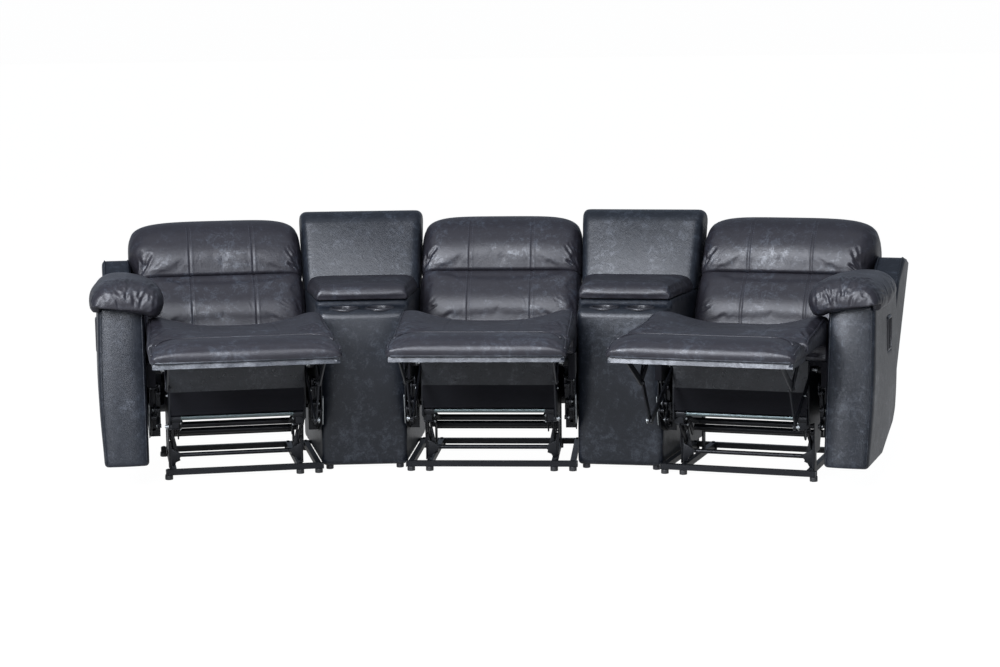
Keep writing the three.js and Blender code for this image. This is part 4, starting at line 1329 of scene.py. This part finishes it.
def carriage_steel():
    """What is riveted to the seat's plates on both sides: links, flanges, cleats, springs and pins."""
    steel, zinc = [], []
    for side in SIDES:
        for x, start, end, width in OUTER_LINKS:
            steel.append(link_bar(side * x, side, start, end, width))
            for pin in (start, end):
                steel.append(across_rod("pin", side, max(x - 0.013, 0.2678), x + 0.0080, *pin, 0.0075, 14))
        for x, start, end, width in INNER_LINKS:
            steel.append(link_bar(side * x, side, start, end, width, 0.0048))
            steel.append(across_rod("pin", side, 0.2010, 0.2402, *start, 0.0045, 14))
            zinc.append(rivet(side * 0.2022, *start, -side, 0.006, 0.003))
        for x, y, z in OUTER_HEADS:
            zinc.append(rivet(side * x, y, z, side, 0.007, 0.003))
        zinc.append(link_bar(side * 0.3082, side, (-0.052, 0.282), (-0.030, 0.188), 0.0085, 0.003))
        for y, z, radius in PLATE_RIVETS:
            zinc.append(rivet(side * PLATE["in"], y, z, -side, radius * 0.8, 0.003))
        for x0, x1, y, z0, z1 in FLANGES:
            steel.append(soften(block("flange", side * x0, side * x1, y, y + 0.004, z0, z1), 0.0012, 2))
        for name, x0, x1, edge, outline in CARRIAGE_FLATS:
            steel.append(soften(slab(name, outline, side * x0, side * x1), edge, 2))
        x = side * PLATE["spring"]
        steel.append(spring("spring", (x, -0.060, 0.222), (x, 0.110, 0.172), 0.0075, 0.0014, 16))
        steel.append(across_rod("sleeve", side, PLATE["spring"], 0.2395, -0.069, 0.234, 0.0145, 24))
    for y, z, radius in ((0.200, 0.1630, 0.0115), (0.215, 0.1357, 0.0120)):
        steel.append(across_rod("cross_tube", 1, -0.239, 0.239, y, z, radius, 24))
    return joined("carriage_steel", steel), joined("carriage_zinc", zinc)


def base_steel(arm_side):
    """What is welded to the floor frame: gussets, hooks, caps on the tube ends and moulded feet."""
    steel, feet = [], []
    for side in SIDES:
        for name, y0, y1, edge, outline in BASE_FLATS:
            flat = slab(name, outline, y0, y1, "Y")
            if side < 0:
                mirror(flat.data)
            steel.append(soften(flat, edge, 2))
        lug = slab("lug", LUG_OUTLINE, side * PLATE["floor"], side * (PLATE["floor"] + 0.0025))
        steel.append(soften(lug, 0.001, 2))
        for z in (0.060, 0.098):
            steel.append(rivet(side * 0.2325, 0.047, z, -side, 0.007, 0.003))
        open_side = side != arm_side
        end = MODULE_HALF - 0.0003 if open_side else 0.255
        for y in FOOT_ROWS:
            for x in (0.227, 0.295) if open_side else (0.245,):
                feet.append(glide(side * x, y, 0.0165))
                steel.append(rod("bolt", (side * x, y, 0.0355), (side * x, y, 0.0395), 0.0062, 6))
            cap = block("cap", side * (end - 0.004), side * (end + 0.0004), y - 0.0104, y + 0.0104,
                        0.0156, 0.0364)
            feet.append(soften(cap, 0.0012, 2))
    return joined("base_steel", steel), joined("base_feet", feet)


def drive_pins():
    """Pins that ride with the drive links."""
    pins = []
    for side in SIDES:
        for pivot in (KNEE, DRIVE_PIVOT):
            pins.append(across_rod("pin", side, PLATE["links"], 0.2620, pivot.y, pivot.z, 0.0055, 16))
            pins.append(rivet(side * 0.2600, pivot.y, pivot.z, side, 0.0105, 0.0035))
        pins.append(across_rod("stop", side, PLATE["links"], 0.2540, -0.19, 0.335, 0.004, 14))
    return joined("drive_pins", pins)


def footrest_pins():
    y, z = BOARD_PIVOT.yz
    pins = []
    for side in SIDES:
        pins.append(across_rod("pin", side, PLATE["links"], 0.2660, y, z, 0.0055, 16))
        pins.append(rivet(side * 0.2603, y, z, side, 0.0105, 0.0035))
        pins.append(link_bar(side * 0.2605, side, (-0.455, 0.402), (-0.395, 0.490), 0.009, 0.004))
    return joined("footrest_pins", pins)


def mechanism():
    steel, zinc = carriage_steel()
    rows = ((steel, "outer_links", "carriage", STEEL), (zinc, "rivets", "carriage", ZINC),
            (drive_pins(), "link_pins", "drive_links", ZINC),
            (footrest_pins(), "footrest_pins", "footrest", STEEL))
    for name, side, turn in SEATS:
        for master, kind, body, paint in rows:
            dress(copy_of(master, f"{name}_{kind}", on_arc(turn)), f"{name}_{body}", "steel", paint)
        base, feet = base_steel(side)
        for piece, kind, slot, paint in ((base, "base_fittings", "steel", STEEL),
                                         (feet, "feet", "black_plastic", RUBBER)):
            piece.data.transform(on_arc(turn))
            piece.name = f"{name}_{kind}"
            dress(piece, "root", slot, paint)
    away(*(row[0] for row in rows))


def paint_frames():
    """Paints the frame's solids: only steel and seat boxes show, and the rest are replaced."""
    for name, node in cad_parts.items():
        paint = TUBE_STEEL if "torque_tube" in name else LINING if "seat_box" in name else STEEL
        node.data.materials.clear()
        node.data.materials.append(paint)


# Stage, light and camera
def stage():
    floor = added(bpy.ops.mesh.primitive_plane_add, size=400, location=(0, 0, 0))
    floor.name = "floor"
    paint = Paint("pale_floor", Roughness=0.6)
    paint.set(Base_Color=(0.36, 0.36, 0.36))
    glow = paint.node("ShaderNodeEmission", {}, {"Color": (1, 1, 1, 1), "Strength": 1.14})
    path = paint.node("ShaderNodeLightPath", output="Is Camera Ray")
    glossy = paint.node("ShaderNodeLightPath", output="Is Glossy Ray")
    through = paint.node("ShaderNodeLightPath", output="Is Transmission Ray")
    seen = (path + glossy * 0.38 + through).clamped()
    blend = paint.node("ShaderNodeMixShader", {}, {0: seen * 0.86, 1: paint.shader, 2: glow})
    paint.tree.links.new(blend.socket, paint.output.inputs["Surface"])
    wall = added(bpy.ops.mesh.primitive_cylinder_add, vertices=96, radius=190, depth=8,
                 end_fill_type="NOTHING", location=(0, 0, 4))
    wall.name = "backdrop"
    for piece in (floor, wall):
        piece.data.materials.append(paint.material)
    world = bpy.data.worlds.new("studio")
    bpy.context.scene.world = world
    world.use_nodes = True
    nodes, links = world.node_tree.nodes, world.node_tree.links
    soft, white = nodes["Background"], nodes.new("ShaderNodeBackground")
    soft.inputs["Color"].default_value = (0.74, 0.84, 1.0, 1)
    soft.inputs["Strength"].default_value = 0.38
    white.inputs["Color"].default_value = (1, 1, 1, 1)
    view, blend = nodes.new("ShaderNodeLightPath"), nodes.new("ShaderNodeMixShader")
    links.new(view.outputs["Is Camera Ray"], blend.inputs[0])
    links.new(soft.outputs[0], blend.inputs[1])
    links.new(white.outputs[0], blend.inputs[2])
    links.new(blend.outputs[0], nodes["World Output"].inputs["Surface"])


def lamp(name, place, target, size, power):
    light = bpy.data.lights.new(name, "AREA")
    light.shape = "RECTANGLE"
    light.size, light.size_y = size
    light.energy = power
    light.color = COOL
    holder = bpy.data.objects.new(name, light)
    bpy.context.scene.collection.objects.link(holder)
    holder.location = place
    holder.rotation_euler = (Vector(target) - Vector(place)).to_track_quat("-Z", "Y").to_euler()


COOL = (0.88, 0.915, 1.0)
LAMPS = (("front_softbox", (-1.2, -5.4, 4.2), (0, 0, 0.6), (5.0, 3.8), 760),
         ("side_softbox", (-3.3, -5.0, 3.5), (0.3, 0, 0.6), (2.0, 2.8), 330),
         ("top_softbox", (0.0, 0.0, 3.6), (0, 0.0, 0.4), (4.5, 1.6), 22),
         ("low_left", (2.8, -9.4, 1.8), (-1.4, 0, 0.4), (2.6, 1.1), 105),
         ("low_right", (-4.4, -8.6, 1.8), (1.4, 0, 0.4), (2.6, 1.1), 110))


def camera():
    yaw, pitch, roll = -0.0725, 0.1316, 0.0115
    ahead = Vector((math.sin(yaw) * math.cos(pitch), math.cos(yaw) * math.cos(pitch), -math.sin(pitch)))
    right = Vector((math.cos(yaw), -math.sin(yaw), 0))
    up = right.cross(ahead)
    side = right * math.cos(roll) - up * math.sin(roll)
    top = right * math.sin(roll) + up * math.cos(roll)
    data = bpy.data.cameras.new("camera")
    data.lens, data.sensor_width = 79.588, 36.0
    holder = bpy.data.objects.new("camera", data)
    bpy.context.scene.collection.objects.link(holder)
    turn = Matrix((side, top, -ahead)).transposed().to_4x4()
    holder.matrix_world = Matrix.Translation((0.6082, -7.8855 + SHIFT_Y, 1.5498)) @ turn
    bpy.context.scene.camera = holder


camera()
stage()
for row in LAMPS:
    lamp(*row)
paint_frames()
back_cushions()
chaises()
footrest_boards()
arms()
back_shells()
consoles()
aprons()
mechanism()
bpy.context.scene.view_settings.view_transform = "Standard"
